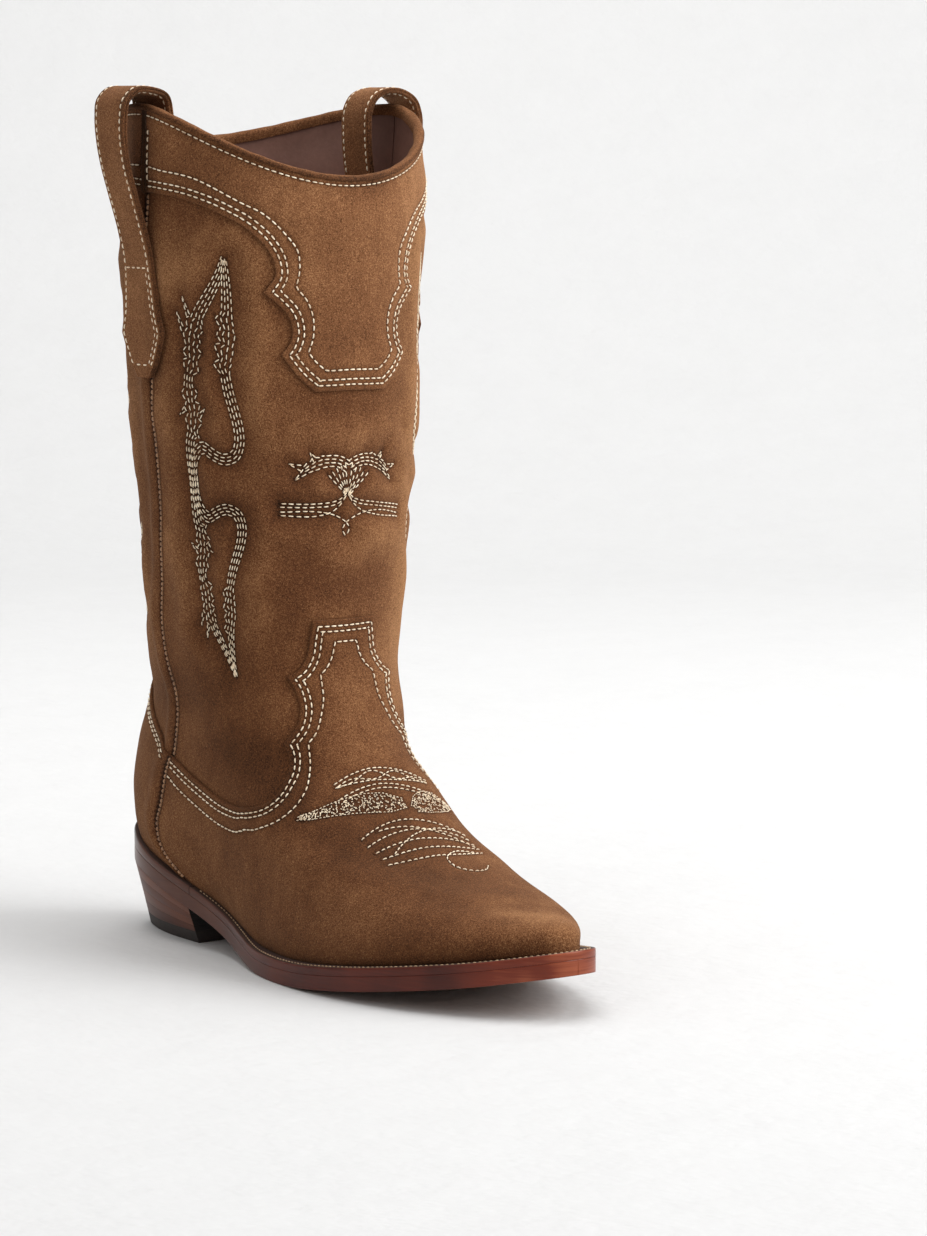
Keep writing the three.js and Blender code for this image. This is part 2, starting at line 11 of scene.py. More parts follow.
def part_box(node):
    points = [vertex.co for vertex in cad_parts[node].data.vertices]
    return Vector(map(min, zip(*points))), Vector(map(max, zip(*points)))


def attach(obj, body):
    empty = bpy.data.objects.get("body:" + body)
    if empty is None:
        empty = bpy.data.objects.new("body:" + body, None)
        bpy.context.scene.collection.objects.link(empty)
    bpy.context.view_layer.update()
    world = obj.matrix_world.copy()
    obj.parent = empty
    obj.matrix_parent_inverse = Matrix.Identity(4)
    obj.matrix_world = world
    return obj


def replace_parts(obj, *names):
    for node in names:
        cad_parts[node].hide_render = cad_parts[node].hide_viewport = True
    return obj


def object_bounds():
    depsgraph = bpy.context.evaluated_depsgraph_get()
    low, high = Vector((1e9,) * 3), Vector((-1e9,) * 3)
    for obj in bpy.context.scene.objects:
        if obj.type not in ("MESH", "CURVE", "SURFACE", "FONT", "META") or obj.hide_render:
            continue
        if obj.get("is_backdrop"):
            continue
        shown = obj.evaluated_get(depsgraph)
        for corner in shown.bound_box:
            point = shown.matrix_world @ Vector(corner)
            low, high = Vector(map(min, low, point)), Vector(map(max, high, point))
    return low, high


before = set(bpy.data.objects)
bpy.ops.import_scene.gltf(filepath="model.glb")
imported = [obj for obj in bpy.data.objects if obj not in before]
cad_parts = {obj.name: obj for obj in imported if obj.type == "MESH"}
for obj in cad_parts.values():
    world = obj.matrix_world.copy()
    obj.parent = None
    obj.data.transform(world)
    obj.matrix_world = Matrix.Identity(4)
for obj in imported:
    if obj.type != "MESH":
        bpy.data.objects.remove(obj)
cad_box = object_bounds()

rng = np.random.default_rng(7)
MM_PER_M = 1000
SHANK_HEEL_F = 28
shank_low, shank_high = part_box("shank")
SHIFT = np.array([
    (shank_low.x + shank_high.x) / 2 * MM_PER_M,
    shank_high.y * MM_PER_M + SHANK_HEEL_F,
    0.0,
])

# ------------------------------------------------------------------ dimensions of the CAD model
LEATHER = 1.6
TOPLINE_RISE = 21.8
RISE_START_T = 0.80
SOLE_THICKNESS = 9.6
WELT_THICKNESS = 3.4
WELT_WIDTH = 10
REVEAL = {"heel": 1.8, "forepart": 4.7, "ends": 2}
OVERLAY_TOP = 2.35
HEEL_BREAST_F = 68
HEEL_BREAST_SLANT = 4.5
HEEL_SIDE_TAPER = 0.235
HEEL_REAR_TAPER = 0.10
HEEL_REAR_REACH = 45
TOP_LIFT = 5.6
LIFT_COUNT = 4
SOLE_TOP = np.array([
    [-12, 46], [0, 42.5], [30, 37.3], [63, 27.5], [90, 19.3], [110, 13.6], [128, 10.3],
    [146, 9.7], [166, 10.2], [192, 12.6], [225, 16.9], [252, 21], [290, 28.6],
])
# t, front F, front Z, back F, back Z, outer half width, inner half width, F of the widest
# place, toe bluntness, heel squareness, waist hollow outside, waist hollow inside,
# narrowing towards the heel, share of the sole's curve that the ring follows.
RINGS = np.array([
    [0.00, 275.4, 26.1, 5.2, 41.8, 45.6, 41.8, 172, 0.70, 10.0, 0.22, 0.32, 0.30, 1.00],
    [0.06, 274.4, 33.0, 0.5, 53, 46.6, 44.6, 172, 0.68, 7.0, 0.18, 0.27, 0.25, 0.88],
    [0.12, 264.6, 37.0, -1.0, 66, 44.2, 44.8, 164, 0.66, 6.0, 0.13, 0.19, 0.18, 0.66],
    [0.20, 238.6, 41.8, 2.5, 84, 40.8, 43.8, 137, 0.62, 4.5, 0.06, 0.10, 0.10, 0.40],
    [0.30, 194.8, 53.2, 9.0, 100, 38.8, 44.8, 108, 0.58, 3.2, 0.00, 0.00, 0.04, 0.20],
    [0.40, 149.6, 82.2, 13.4, 117, 39.0, 47.8, 87, 0.52, 2.6, 0.00, 0.00, 0.00, 0.06],
    [0.48, 131.2, 118, 14.2, 131, 43.0, 53.2, 79, 0.50, 2.2, 0.00, 0.00, 0.00, 0.00],
    [0.58, 131.8, 156, 14.5, 162, 48.0, 57.5, 79, 0.50, 2.0, 0.00, 0.00, 0.00, 0.00],
    [0.72, 135.0, 208, 14.5, 216, 55.0, 61.5, 81, 0.50, 2.0, 0.00, 0.00, 0.00, 0.00],
    [0.86, 136.2, 265, 14.5, 275, 60.0, 64.5, 82, 0.50, 2.0, 0.00, 0.00, 0.00, 0.00],
    [1.00, 137.5, 322, 16.5, 337, 63.0, 64.0, 83, 0.50, 2.0, 0.00, 0.00, 0.00, 0.00],
])
WAIST_F, WAIST_REACH = 88, 42
SNIP_WIDTH, SNIP_TOP_T = 3, 0.25
SNIP_CORNER, SNIP_SHARPNESS = 0.18, 24
HEEL_NARROWING_POWER = 1.3
RISE_POWER, SADDLE_POWER = 1.6, 1.7
LEVEL_BELOW_T = 0.08        # below this height the surface's normals turn level
SEAM = np.array([
    [0, 0.358], [0.03, 0.373], [0.087, 0.378], [0.14, 0.368], [0.22, 0.350], [0.31, 0.324],
    [0.40, 0.298], [0.47, 0.288], [0.52, 0.284], [0.60, 0.267], [0.70, 0.259], [0.85, 0.253],
    [1, 0.25],
])


# ------------------------------------------------------------------ small maths
def smooth_table(table, keys):
    """A cubic through every row of the table, looked up at many keys at once."""
    xs, ys = table[:, 0], table[:, 1:]
    keys = np.clip(np.asarray(keys, float), xs[0], xs[-1])
    i = np.clip(np.searchsorted(xs, keys, "right") - 1, 0, len(xs) - 2)
    widths = np.diff(xs)
    slopes = np.diff(ys, axis=0) / widths[:, None]
    tangents = np.empty_like(ys)
    tangents[0], tangents[-1] = slopes[0], slopes[-1]
    before, after = widths[:-1, None], widths[1:, None]
    tangents[1:-1] = (slopes[:-1] * after + slopes[1:] * before) / (before + after)
    h = widths[i][..., None]
    s = ((keys - xs[i]) / widths[i])[..., None]
    return (
        (2 * s**3 - 3 * s**2 + 1) * ys[i] + (s**3 - 2 * s**2 + s) * h * tangents[i]
        + (3 * s**2 - 2 * s**3) * ys[i + 1] + (s**3 - s**2) * h * tangents[i + 1]
    )


def ramp(x, low, high):
    """0 below low, 1 above high, with a soft start and end."""
    s = np.clip((np.asarray(x, float) - low) / (high - low), 0, 1)
    return s * s * (3 - 2 * s)


def bell(x, centre, reach):
    return np.exp(-(((x - centre) / reach) ** 2))


def unit(v):
    return v / np.maximum(np.linalg.norm(v, axis=-1, keepdims=True), 1e-9)


def distances(points):
    """How far along a path each of its points is."""
    return np.r_[0, np.cumsum(np.linalg.norm(np.diff(points, axis=0), axis=1))]


def look_up(keys, along, table):
    """Every column of the table at the keys, on straight lines between its rows."""
    return np.stack([np.interp(keys, along, column) for column in table.T], -1)


def to_left(path):
    """Unit vectors to the left of a flat path."""
    ahead = unit(np.gradient(path, axis=0))
    return np.stack([-ahead[:, 1], ahead[:, 0]], -1)


def sole_top(F):
    return smooth_table(SOLE_TOP, F)[..., 0]


def seam(t):
    return smooth_table(SEAM, t)[..., 0]


# ------------------------------------------------------------------ the upper as a chart
def upper(t, u):
    """Points of the upper's reference face: t is the height share, u the place round the girth."""
    t, u = np.broadcast_arrays(np.asarray(t, float), np.asarray(u, float))
    (front_f, front_z, back_f, back_z, outer, inner, widest, blunt, square, hollow_out, hollow_in,
     taper, sag) = np.moveaxis(smooth_table(RINGS, t), -1, 0)
    c = np.cos(2 * np.pi * u)
    lateral = np.sin(2 * np.pi * u) >= 0
    reach = np.abs(c)
    F = np.where(c >= 0, widest + (front_f - widest) * reach, widest + (back_f - widest) * reach)
    plan = np.where(
        c >= 0,
        np.maximum(0, 1 - reach**2) ** blunt,
        np.sqrt(np.maximum(0, 1 - reach**square)),
    )
    hollow = np.where(lateral, hollow_out, hollow_in) * bell(F, WAIST_F, WAIST_REACH)
    to_heel = np.clip((widest - F) / (widest - back_f), 0, 1)
    narrow = 1 - taper * to_heel**HEEL_NARROWING_POWER
    corner = np.clip(np.sqrt(np.maximum(0, 1 - c**2)) / SNIP_CORNER, 0, 1)
    snip = SNIP_WIDTH * corner * reach**SNIP_SHARPNESS * np.clip(1 - t / SNIP_TOP_T, 0, 1)
    half = np.where(lateral, outer, inner) * plan * narrow * (1 - hollow) + np.where(c > 0, snip, 0)
    toe_f, toe_z, heel_f, heel_z = RINGS[0, 1:5]
    chord = heel_z + (toe_z - heel_z) * (F - heel_f) / (toe_f - heel_f)
    straight = back_z + (front_z - back_z) * (F - back_f) / (front_f - back_f)
    rise = TOPLINE_RISE * np.clip((t - RISE_START_T) / (1 - RISE_START_T), 0, 1) ** RISE_POWER
    z = straight + sag * (sole_top(F) - chord) + rise * (1 - reach**SADDLE_POWER)
    return np.stack([np.where(lateral, -half, half), -F, z], -1)


def outward(t, u):
    e = 0.004
    t, u = np.broadcast_arrays(np.asarray(t, float), np.asarray(u, float))
    up = upper(np.minimum(1, t + e), u) - upper(np.maximum(0, t - e), u)
    around = upper(t, u + e) - upper(t, u - e)
    n = unit(np.cross(up, around))
    n[..., 2] *= np.clip(t / LEVEL_BELOW_T, 0, 1)
    return unit(n)


def on_upper(path):
    """The 3D points of a path of [u, t]."""
    return upper(path[:, 1], path[:, 0])


def mm_per_u(t, u):
    """Millimetres round the girth for one unit of u."""
    e = 0.01
    return np.linalg.norm(upper(t, u + e) - upper(t, u - e), axis=-1) / (2 * e)


def seam_distance(t, u):
    """Distance in front of the nearest side seam, in mm; negative behind it."""
    girth = np.abs((u + 0.5) % 1 - 0.5)
    place = seam(t)
    return (place - girth) * mm_per_u(t, place)


RIPPLE_LENGTHS = (24, 29, 34, 41, 48, 55, 63, 74)
RIPPLE_SLOPE = 0.0042
WAVES = [
    (unit(rng.normal(size=3)) * 2 * np.pi / length, rng.uniform(0, 2 * np.pi), length * RIPPLE_SLOPE)
    for length in RIPPLE_LENGTHS
]


def ripple(p):
    """Gentle unevenness of the leather."""
    return sum(size * np.sin(p @ wave + phase) for wave, phase, size in WAVES)


# ------------------------------------------------------------------ paths on the chart
FLAT = np.array([410.0, 370.0])   # a rough size in mm of one unit of u and of t
CHART_STEP, MM_STEP = 0.7, 0.6    # mm between samples of a path on the chart, and of one in mm
COARSE_STEP = 0.9                 # and of a hidden straight edge


def polyline(points, step=CHART_STEP):
    """Even samples along straight runs of [u, t] points."""
    p = np.asarray(points, float)
    along = distances(p * FLAT)
    return look_up(np.linspace(0, along[-1], max(2, int(along[-1] / step) + 1)), along, p)


def curve(points):
    """Even samples along a smooth curve through [u, t] points."""
    p = np.asarray(points, float)
    along = distances(p * FLAT)
    keys = np.linspace(0, along[-1], int(along[-1] / CHART_STEP) + 1)
    return smooth_table(np.column_stack([along, p]), keys)


def curve_mm(points):
    """Even samples along a smooth curve, or along one straight line, through points in mm."""
    p = np.asarray(points, float)
    along = distances(p)
    keys = np.linspace(0, along[-1], max(4, int(along[-1] / MM_STEP)))
    if len(p) == 2:
        return look_up(keys, along, p)
    return smooth_table(np.column_stack([along, p]), keys)


def joined(*runs):
    return np.concatenate([runs[0]] + [run[1:] for run in runs[1:]])


def across(path, middle=0.0):
    """The path on the other side of a middle line, in the same direction."""
    return np.stack([2 * middle - path[:, 0], path[:, 1]], -1)


def shifted(path, distance):
    """The path moved sideways over the surface by mm, to the left of its direction seen from outside."""
    u, t = path.T
    e = 0.002
    along_u = (upper(t, u + e) - upper(t, u - e)) / (2 * e)
    along_t = (upper(t + e, u) - upper(t - e, u)) / (2 * e)
    side = unit(np.cross(outward(t, u), unit(np.gradient(upper(t, u), axis=0))))
    move = side * np.asarray(distance)[..., None]
    a, b, d = [(x * y).sum(-1) for x, y in ((along_u, along_u), (along_u, along_t), (along_t, along_t))]
    r, s = (along_u * move).sum(-1), (along_t * move).sum(-1)
    det = np.maximum(a * d - b * b, 1e-9)
    return path + np.stack([(r * d - s * b) / det, (s * a - r * b) / det], -1)


# ------------------------------------------------------------------ meshes
def to_part(points):
    return (np.asarray(points, float).reshape(-1, 3) + SHIFT) / MM_PER_M


def make(name, points, faces, materials, tone=None, face_material=None, sharp=40):
    mesh = bpy.data.meshes.new(name)
    mesh.from_pydata(to_part(points).tolist(), [], [list(map(int, f)) for f in faces])
    for material in materials:
        mesh.materials.append(material)
    if face_material is not None:
        mesh.polygons.foreach_set("material_index", np.asarray(face_material, np.int32))
    values = np.zeros(len(mesh.vertices)) if tone is None else np.asarray(tone, float).reshape(-1)
    mesh.attributes.new("tone", "FLOAT", "POINT").data.foreach_set("value", values)
    mesh.shade_smooth()
    mesh.set_sharp_from_angle(angle=math.radians(sharp))
    mesh.update()
    piece = bpy.data.objects.new(name, mesh)
    bpy.context.scene.collection.objects.link(piece)
    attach(piece, "root")
    return piece


def loft_faces(count, around, closed=False, caps=True):
    """Quads between a row of sections that are each a closed loop of the same number of points."""
    i = np.arange(count if closed else count - 1)[:, None] * around
    j = (i + around) % (count * around)
    k = np.arange(around)[None, :]
    n = (k + 1) % around
    faces = np.stack([i + k, i + n, j + n, j + k], -1).reshape(-1, 4).tolist()
    if not closed and caps:
        faces.append(list(range(around))[::-1])
        faces.append(list(range((count - 1) * around, count * around)))
    return faces


def facing_out(points, faces):
    """The faces, all turned if the closed mesh they make is inside out."""
    volume = 0.0
    for f in faces:
        a = points[f[0]]
        for k in range(1, len(f) - 1):
            volume += float(np.dot(a, np.cross(points[f[k]], points[f[k + 1]])))
    return faces if volume > 0 else [f[::-1] for f in faces]


def loft(name, sections, materials, closed=False, tone=None, sharp=40, pick=None):
    """Sections: an array [count, around, 3]. pick gives each face's material from its middle."""
    count, around = sections.shape[:2]
    points = sections.reshape(-1, 3)
    faces = facing_out(points, loft_faces(count, around, closed))
    chosen = None if pick is None else [pick(points[f].mean(0)) for f in faces]
    return make(name, points, faces, materials, tone, chosen, sharp)


def tree_of(points):
    """A search tree of 3D points, or of flat ones."""
    tree = KDTree(len(points))
    for k, p in enumerate(lying(points)):
        tree.insert(p, k)
    tree.balance()
    return tree


def lying(points):
    """Flat points with a zero height added; 3D points as they are."""
    return points if points.shape[1] == 3 else np.c_[points, np.zeros(len(points))]


def nearest(tree, points):
    return np.array([tree.find(p)[2] for p in lying(points)])


HEX_ROW = 0.866                     # distance between rows, in steps


def hex_grid(low, high, step):
    rows = []
    for k, y in enumerate(np.arange(low[1], high[1], step * HEX_ROW)):
        x = np.arange(low[0] + (k % 2) * step / 2, high[0], step)
        rows.append(np.stack([x, np.full_like(x, y)], -1))
    return np.concatenate(rows)


def open_sides(faces):
    """The sides that only one of the triangles has."""
    sides = np.concatenate([faces[:, [0, 1]], faces[:, [1, 2]], faces[:, [2, 0]]]).tolist()
    known = {tuple(side) for side in sides}
    return [side for side in sides if (side[1], side[0]) not in known]


EDGE_REACH = 12                     # mm over which an overlay climbs from its edge to its full height
CALM_BAND = (0.93, 0.99)            # t over which the unevenness dies away below the binding
SKIVED_BAND, SKIVED_SHARE = (0.955, 0.988), 0.7     # t over which the leather thins under the binding
FRONT_LAP, FRONT_LAP_REACH = 0.85, 5                # mm the front panels stand out at the side seams
BACK_PUFF = 1.5                     # mm the back panels dip at the side seams and rise behind them
SEAM_DIP, SEAM_PUFF = (0, 2.0), (-7.5, 4.2)         # middle and reach, in mm in front of the seam
WELT_TUCK, WELT_TUCK_T = 0.5, 0.006                 # the leather pulled in where it meets the welt
TOE_STAND, TOE_STAND_REACH = 2.6, 0.05              # the tip of the toe stands out over the welt
STITCH_BAND, GROOVE_REACH, GROOVE_DEPTH = 0.9, 0.75, 0.42
OUTLINE_CLEAR = 0.4                 # mm kept free of inner points beside the outline
EDGE_ROUND, EDGE_TURN = 0.28, 0.25
EDGE_SINK, EDGE_SINK_REACH = 0.3, 0.4
# painted shade near the cut edge, in the stitch grooves, on the underside and on the rounded rim; painted
# light on the padding's puffs and painted shade in its dips
EDGE_SHADE, EDGE_SHADE_REACH = 0.25, 1.2
GROOVE_PAINTED_SHADE, SWELL_LIGHT_AND_SHADE, UNDER_PAINTED_SHADE, RIM_PAINTED_SHADE = -0.8, 0.30, -0.6, -0.35


def skived(t):
    return 1 - SKIVED_SHARE * ramp(t, *SKIVED_BAND)


class Panel:
    """A sheet of suede cut to an outline on the chart, solid, with a rounded raw edge."""

    def __init__(self, name, outline, overlay, step, bulge=0.0):
        self.name, self.outline, self.overlay, self.step = name, outline, overlay, step
        self.bulge = bulge
        self.rows = []
        self.edge = tree_of(on_upper(outline))

    def height(self, u, t, points):
        """Height of the panel's visible face over the reference face."""
        from_edge = nearest(self.edge, points)
        s = seam_distance(t, u)
        if self.bulge:
            lift = BACK_PUFF * (bell(s, *SEAM_PUFF) - bell(s, *SEAM_DIP)) * self.bulge
        else:
            lift = np.where(s >= -2, FRONT_LAP * np.exp(-np.maximum(s, 0) / FRONT_LAP_REACH), 0)
        calm = 1 - 0.8 * ramp(t, *CALM_BAND)
        body = LEATHER + (OVERLAY_TOP - LEATHER) * ramp(from_edge, 0, EDGE_REACH) if self.overlay else 0.0
        tuck = WELT_TUCK * np.exp(-np.maximum(t, 0) / WELT_TUCK_T)
        toe = TOE_STAND * bell(u, 0, TOE_STAND_REACH) * np.exp(-t / TOE_STAND_REACH)
        return body * skived(t) + lift * calm + swell(u, t, points) * calm - tuck + toe

    def place(self, path, lift=0.0):
        """Points and normals on the panel's visible face along a path of [u, t]."""
        u, t = path.T
        points, normals = upper(t, u), outward(t, u)
        high = self.height(u, t, points) + lift
        return points + normals * high[:, None], normals

    def sew(self, path, **how):
        self.rows.append(path)
        stitch_along(self.name, *self.place(path), **how)

    def triangles(self):
        """[u, t] spots over the panel, close together along its stitches, and the triangles on them."""
        flat = self.outline * FLAT
        low, high = flat.min(0), flat.max(0)
        grid = hex_grid(low, high, self.step)
        sewn = np.concatenate([
            shifted(row, aside)[::2] * FLAT for row in self.rows for aside in (-STITCH_BAND, 0, STITCH_BAND)
        ])
        inside = np.concatenate([grid[nearest(tree_of(sewn), grid) > self.step * 0.55], sewn])
        away = nearest(tree_of(flat), inside) > OUTLINE_CLEAR
        inside = inside[away & ((inside > low) & (inside < high)).all(1)]
        spots = [Vector(p) for p in np.concatenate([flat, inside]).tolist()]
        sides = [(k, (k + 1) % len(flat)) for k in range(len(flat))]
        found = delaunay_2d_cdt(spots, sides, [], 1, 1e-5)
        faces = np.array([f for f in found[2] if len(f) == 3])
        used, faces = np.unique(faces, return_inverse=True)
        return np.array([list(v) for v in found[0]])[used] / FLAT, faces.reshape(-1, 3)

    def build(self, node, material, slot):
        spots, faces = self.triangles()
        u, t = spots.T
        base, normals = upper(t, u), outward(t, u)
        from_edge = nearest(self.edge, base)
        sewn = np.concatenate([on_upper(row) for row in self.rows])
        groove = bell(nearest(tree_of(sewn), base), 0, GROOVE_REACH)
        high = self.height(u, t, base)
        sunk = GROOVE_DEPTH * groove + EDGE_SINK * np.exp(-from_edge / EDGE_SINK_REACH)
        top = base + normals * (high - sunk)[:, None]
        low = base + normals * (high - LEATHER)[:, None]
        # painted shade in the stitch grooves and near the cut edge, painted light and shade that follow the
        # padding's swell, and the nap's painted light and shade
        tone = GROOVE_PAINTED_SHADE * groove + SWELL_LIGHT_AND_SHADE * swell(u, t, base) + painted_light_and_shade(u, t, base)
        tone -= EDGE_SHADE * np.exp(-from_edge / EDGE_SHADE_REACH)
        a, b, c = top[faces.T]
        if (np.cross(b - a, c - a) * normals[faces[:, 0]]).sum(-1).mean() < 0:
            faces = faces[:, ::-1]
        rim = open_sides(faces)
        out = np.zeros_like(top)
        for a, b in rim:
            out[[a, b]] += np.cross(top[b] - top[a], normals[a])
        at_rim = sorted({k for side in rim for k in side})
        push = unit(out[at_rim]) * EDGE_ROUND
        turn = normals[at_rim] * EDGE_TURN
        points = np.concatenate([top, low, top[at_rim] + push - turn, low[at_rim] + push + turn])
        count = len(top)
        upper_belt = {k: 2 * count + i for i, k in enumerate(at_rim)}
        all_faces = faces.tolist() + (faces[:, ::-1] + count).tolist()
        for a, b in rim:
            p, q = upper_belt[a], upper_belt[b]
            levels = [(a, b), (p, q), (p + len(at_rim), q + len(at_rim)), (count + a, count + b)]
            for (p0, p1), (q0, q1) in zip(levels, levels[1:]):
                all_faces.append([p1, p0, q0, q1])
        # the underside and the rounded rim get painted shade
        tones = np.concatenate([tone, np.full(count, UNDER_PAINTED_SHADE), np.full(len(at_rim) * 2, RIM_PAINTED_SHADE)])
        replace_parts(make(self.name, points, all_faces, [material], tones, sharp=50), node)


# ------------------------------------------------------------------ stitches
STITCHES = {}      # (piece, thread): runs of start points, end points, normals and radii
STITCH_SIDES = 6
STITCH_END, STITCH_SHOULDER = (0.45, -0.55), (0.90, 0.15)
# the shape of a stitch: share along it, width and height of its middle, in radii
STITCH_SHAPE = [(0.0, *STITCH_END), (0.16, *STITCH_SHOULDER), (0.5, 1.0, 0.45), (0.84, *STITCH_SHOULDER),
                (1.0, *STITCH_END)]


def stitch_along(name, points, normals, length=2.05, pitch=3.05, radius=0.31, colour="thread"):
    """Collects stitches along a 3D path."""
    along = distances(points)
    count = max(1, int(along[-1] / pitch))
    gap = along[-1] / count
    starts = (np.arange(count) + 0.5 + rng.uniform(-0.3, 0.3)) * gap + rng.uniform(-0.05, 0.05, count) * pitch
    half = length / 2 * rng.uniform(0.92, 1.08, count) * min(1, gap / pitch)
    STITCHES.setdefault((name, colour), []).append((
        look_up(starts - half, along, points), look_up(starts + half, along, points),
        look_up(starts, along, normals), np.full(count, radius),
    ))


def build_stitches():
    """One piece of thread for every panel and colour, with each stitch a small plump strand."""
    for (name, colour), runs in STITCHES.items():
        a, b, n, radius = [np.concatenate(column) for column in zip(*runs)]
        along = unit(b - a)
        side = unit(np.cross(along, unit(n)))
        rise = unit(np.cross(side, along))
        radius = radius[:, None]
        ring = []
        for share, wide, lift in STITCH_SHAPE:
            middle = a + (b - a) * share + rise * radius * lift
            for angle in 2 * np.pi * np.arange(STITCH_SIDES) / STITCH_SIDES:
                ring.append(middle + (side * math.cos(angle) + rise * math.sin(angle)) * radius * wide)
        points = np.stack(ring, 1)                        # stitch, vertex, xyz
        per = points.shape[1]
        base = (np.arange(len(a)) * per)[:, None, None]
        quads = np.array(loft_faces(len(STITCH_SHAPE), STITCH_SIDES, caps=False))
        ends = np.array([list(range(STITCH_SIDES))[::-1], list(range(per - STITCH_SIDES, per))])
        faces = (quads[None] + base).reshape(-1, 4)[:, ::-1].tolist()
        faces += (ends[None] + base).reshape(-1, STITCH_SIDES)[:, ::-1].tolist()
        tone = np.repeat(rng.uniform(-1, 1, len(a)), per)
        make(f"{name}_{colour}", points, faces, [MATERIALS[colour]], tone)


# ------------------------------------------------------------------ materials
def srgb(r, g, b):
    """A linear colour from its everyday 0 to 255 values."""
    return tuple(((c / 255 + 0.055) / 1.055) ** 2.4 if c > 10 else c / 3295 for c in (r, g, b)) + (1.0,)


class Nodes:
    """A short way to write a node tree in object coordinates (metres)."""

    def __init__(self, name):
        self.material = bpy.data.materials.new(name)
        self.material.use_nodes = True
        self.tree = self.material.node_tree
        self.shader = self.tree.nodes["Principled BSDF"]
        self.where = self.add("TexCoord").outputs["Object"]

    def add(self, kind, **inputs):
        node = self.tree.nodes.new("ShaderNode" + kind)
        self.fill(node, inputs)
        return node

    def fill(self, node, inputs):
        for key, value in inputs.items():
            self.put(node.inputs[key.replace("_", " ")], value)

    def put(self, socket, value):
        if hasattr(value, "is_output"):
            self.tree.links.new(value, socket)
        else:
            socket.default_value = value

    def noise(self, size, detail=2.0, rough=0.5, stretch=(1, 1, 1), warp=0.0):
        """Noise whose blotches are about size metres across, pulled out along the stretched axes."""
        mapping = self.add("Mapping", Vector=self.where, Scale=[1 / (size * s) for s in stretch])
        return self.add("TexNoise", Vector=mapping.outputs["Vector"], Scale=1.0, Detail=detail,
                        Roughness=rough, Distortion=warp).outputs["Fac"]

    def math(self, kind, a, b=0.0, c=0.0):
        node = self.add("Math")
        node.operation = kind
        for socket, value in zip(node.inputs, (a, b, c)):
            self.put(socket, value)
        return node.outputs[0]

    def total(self, *terms):
        """Sum of (value, weight) terms."""
        result = 0.0
        for value, weight in terms:
            result = self.math("MULTIPLY_ADD", value, weight, result)
        return result

    def forwards(self, start, end):
        """0 behind one place along the foot and 1 in front of another, both as Y in metres."""
        split = self.add("SeparateXYZ", Vector=self.where)
        return self.add("MapRange", Value=split.outputs["Y"], From_Min=start, From_Max=end).outputs["Result"]

    def tone(self):
        node = self.add("Attribute")
        node.attribute_name = "tone"
        return node.outputs["Fac"]

    def ramp(self, value, stops):
        node = self.add("ValToRGB", Fac=value)
        elements = node.color_ramp.elements
        while len(elements) < len(stops):
            elements.new(0.5)
        for element, (place, colour) in zip(elements, stops):
            element.position = place
            element.color = srgb(*colour)
        return node.outputs["Color"]

    def mix(self, share, a, b):
        node = self.add("Mix", Factor=share)
        node.data_type = "RGBA"
        colours = [socket for socket in node.inputs if socket.type == "RGBA"]
        self.put(colours[0], a)
        self.put(colours[1], b)
        return next(socket for socket in node.outputs if socket.type == "RGBA")

    def bump(self, *layers):
        """Stacked bumps: (height, distance in metres, strength)."""
        stack = {}
        for height, distance, strength in layers:
            node = self.add("Bump", Height=height, Distance=distance, Strength=strength, **stack)
            stack = {"Normal": node.outputs["Normal"]}
        self.fill(self.shader, stack)

    def finish(self, colour, roughness, **more):
        self.fill(self.shader, {"Base_Color": colour, "Roughness": roughness, **more})
        return self.material


SUEDE_CENTRE = -0.485           # brings the sum of the suede's layers to the middle of its colours


def suede(name, dark, middle, light):
    n = Nodes(name)
    cloud = n.noise(0.050, 3.0, 0.55)
    brush = n.noise(0.0085, 4.0, 0.6, stretch=(1, 1, 1.7), warp=0.4)
    nap = n.noise(0.0008, 3.0, 0.7)
    fibre = n.noise(0.00038, 2.0, 0.6)
    value = n.total((cloud, 0.32), (brush, 0.20), (nap, 0.55), (fibre, 0.90), (n.tone(), 0.22))
    value = n.math("ADD", value, SUEDE_CENTRE)
    colour = n.ramp(value, [(0.18, dark), (0.50, middle), (0.86, light)])
    n.bump((brush, 0.0010, 0.20), (nap, 0.00045, 0.7), (fibre, 0.00022, 0.8))
    return n.finish(colour, 0.93, Sheen_Weight=0.18, Sheen_Roughness=0.45,
                    Sheen_Tint=srgb(214, 170, 128), Specular_IOR_Level=0.15)


def smooth_leather(name, dark, light, rough):
    n = Nodes(name)
    cloud = n.noise(0.030, 3.0, 0.6)
    pores = n.noise(0.0016, 3.0, 0.6)
    value = n.total((cloud, 0.75), (pores, 0.25), (n.tone(), 0.30))
    colour = n.ramp(value, [(0.25, dark), (0.75, light)])
    n.bump((cloud, 0.0010, 0.15), (pores, 0.0002, 0.35))
    return n.finish(colour, rough)


HEEL_TO_FORE = (0.072, -0.030)      # Y where the dye turns from brown to red
TOE_PAINTED_HIGHLIGHT = (-0.106, -0.132)       # Y where the painted highlight on the toe's edge starts and is full
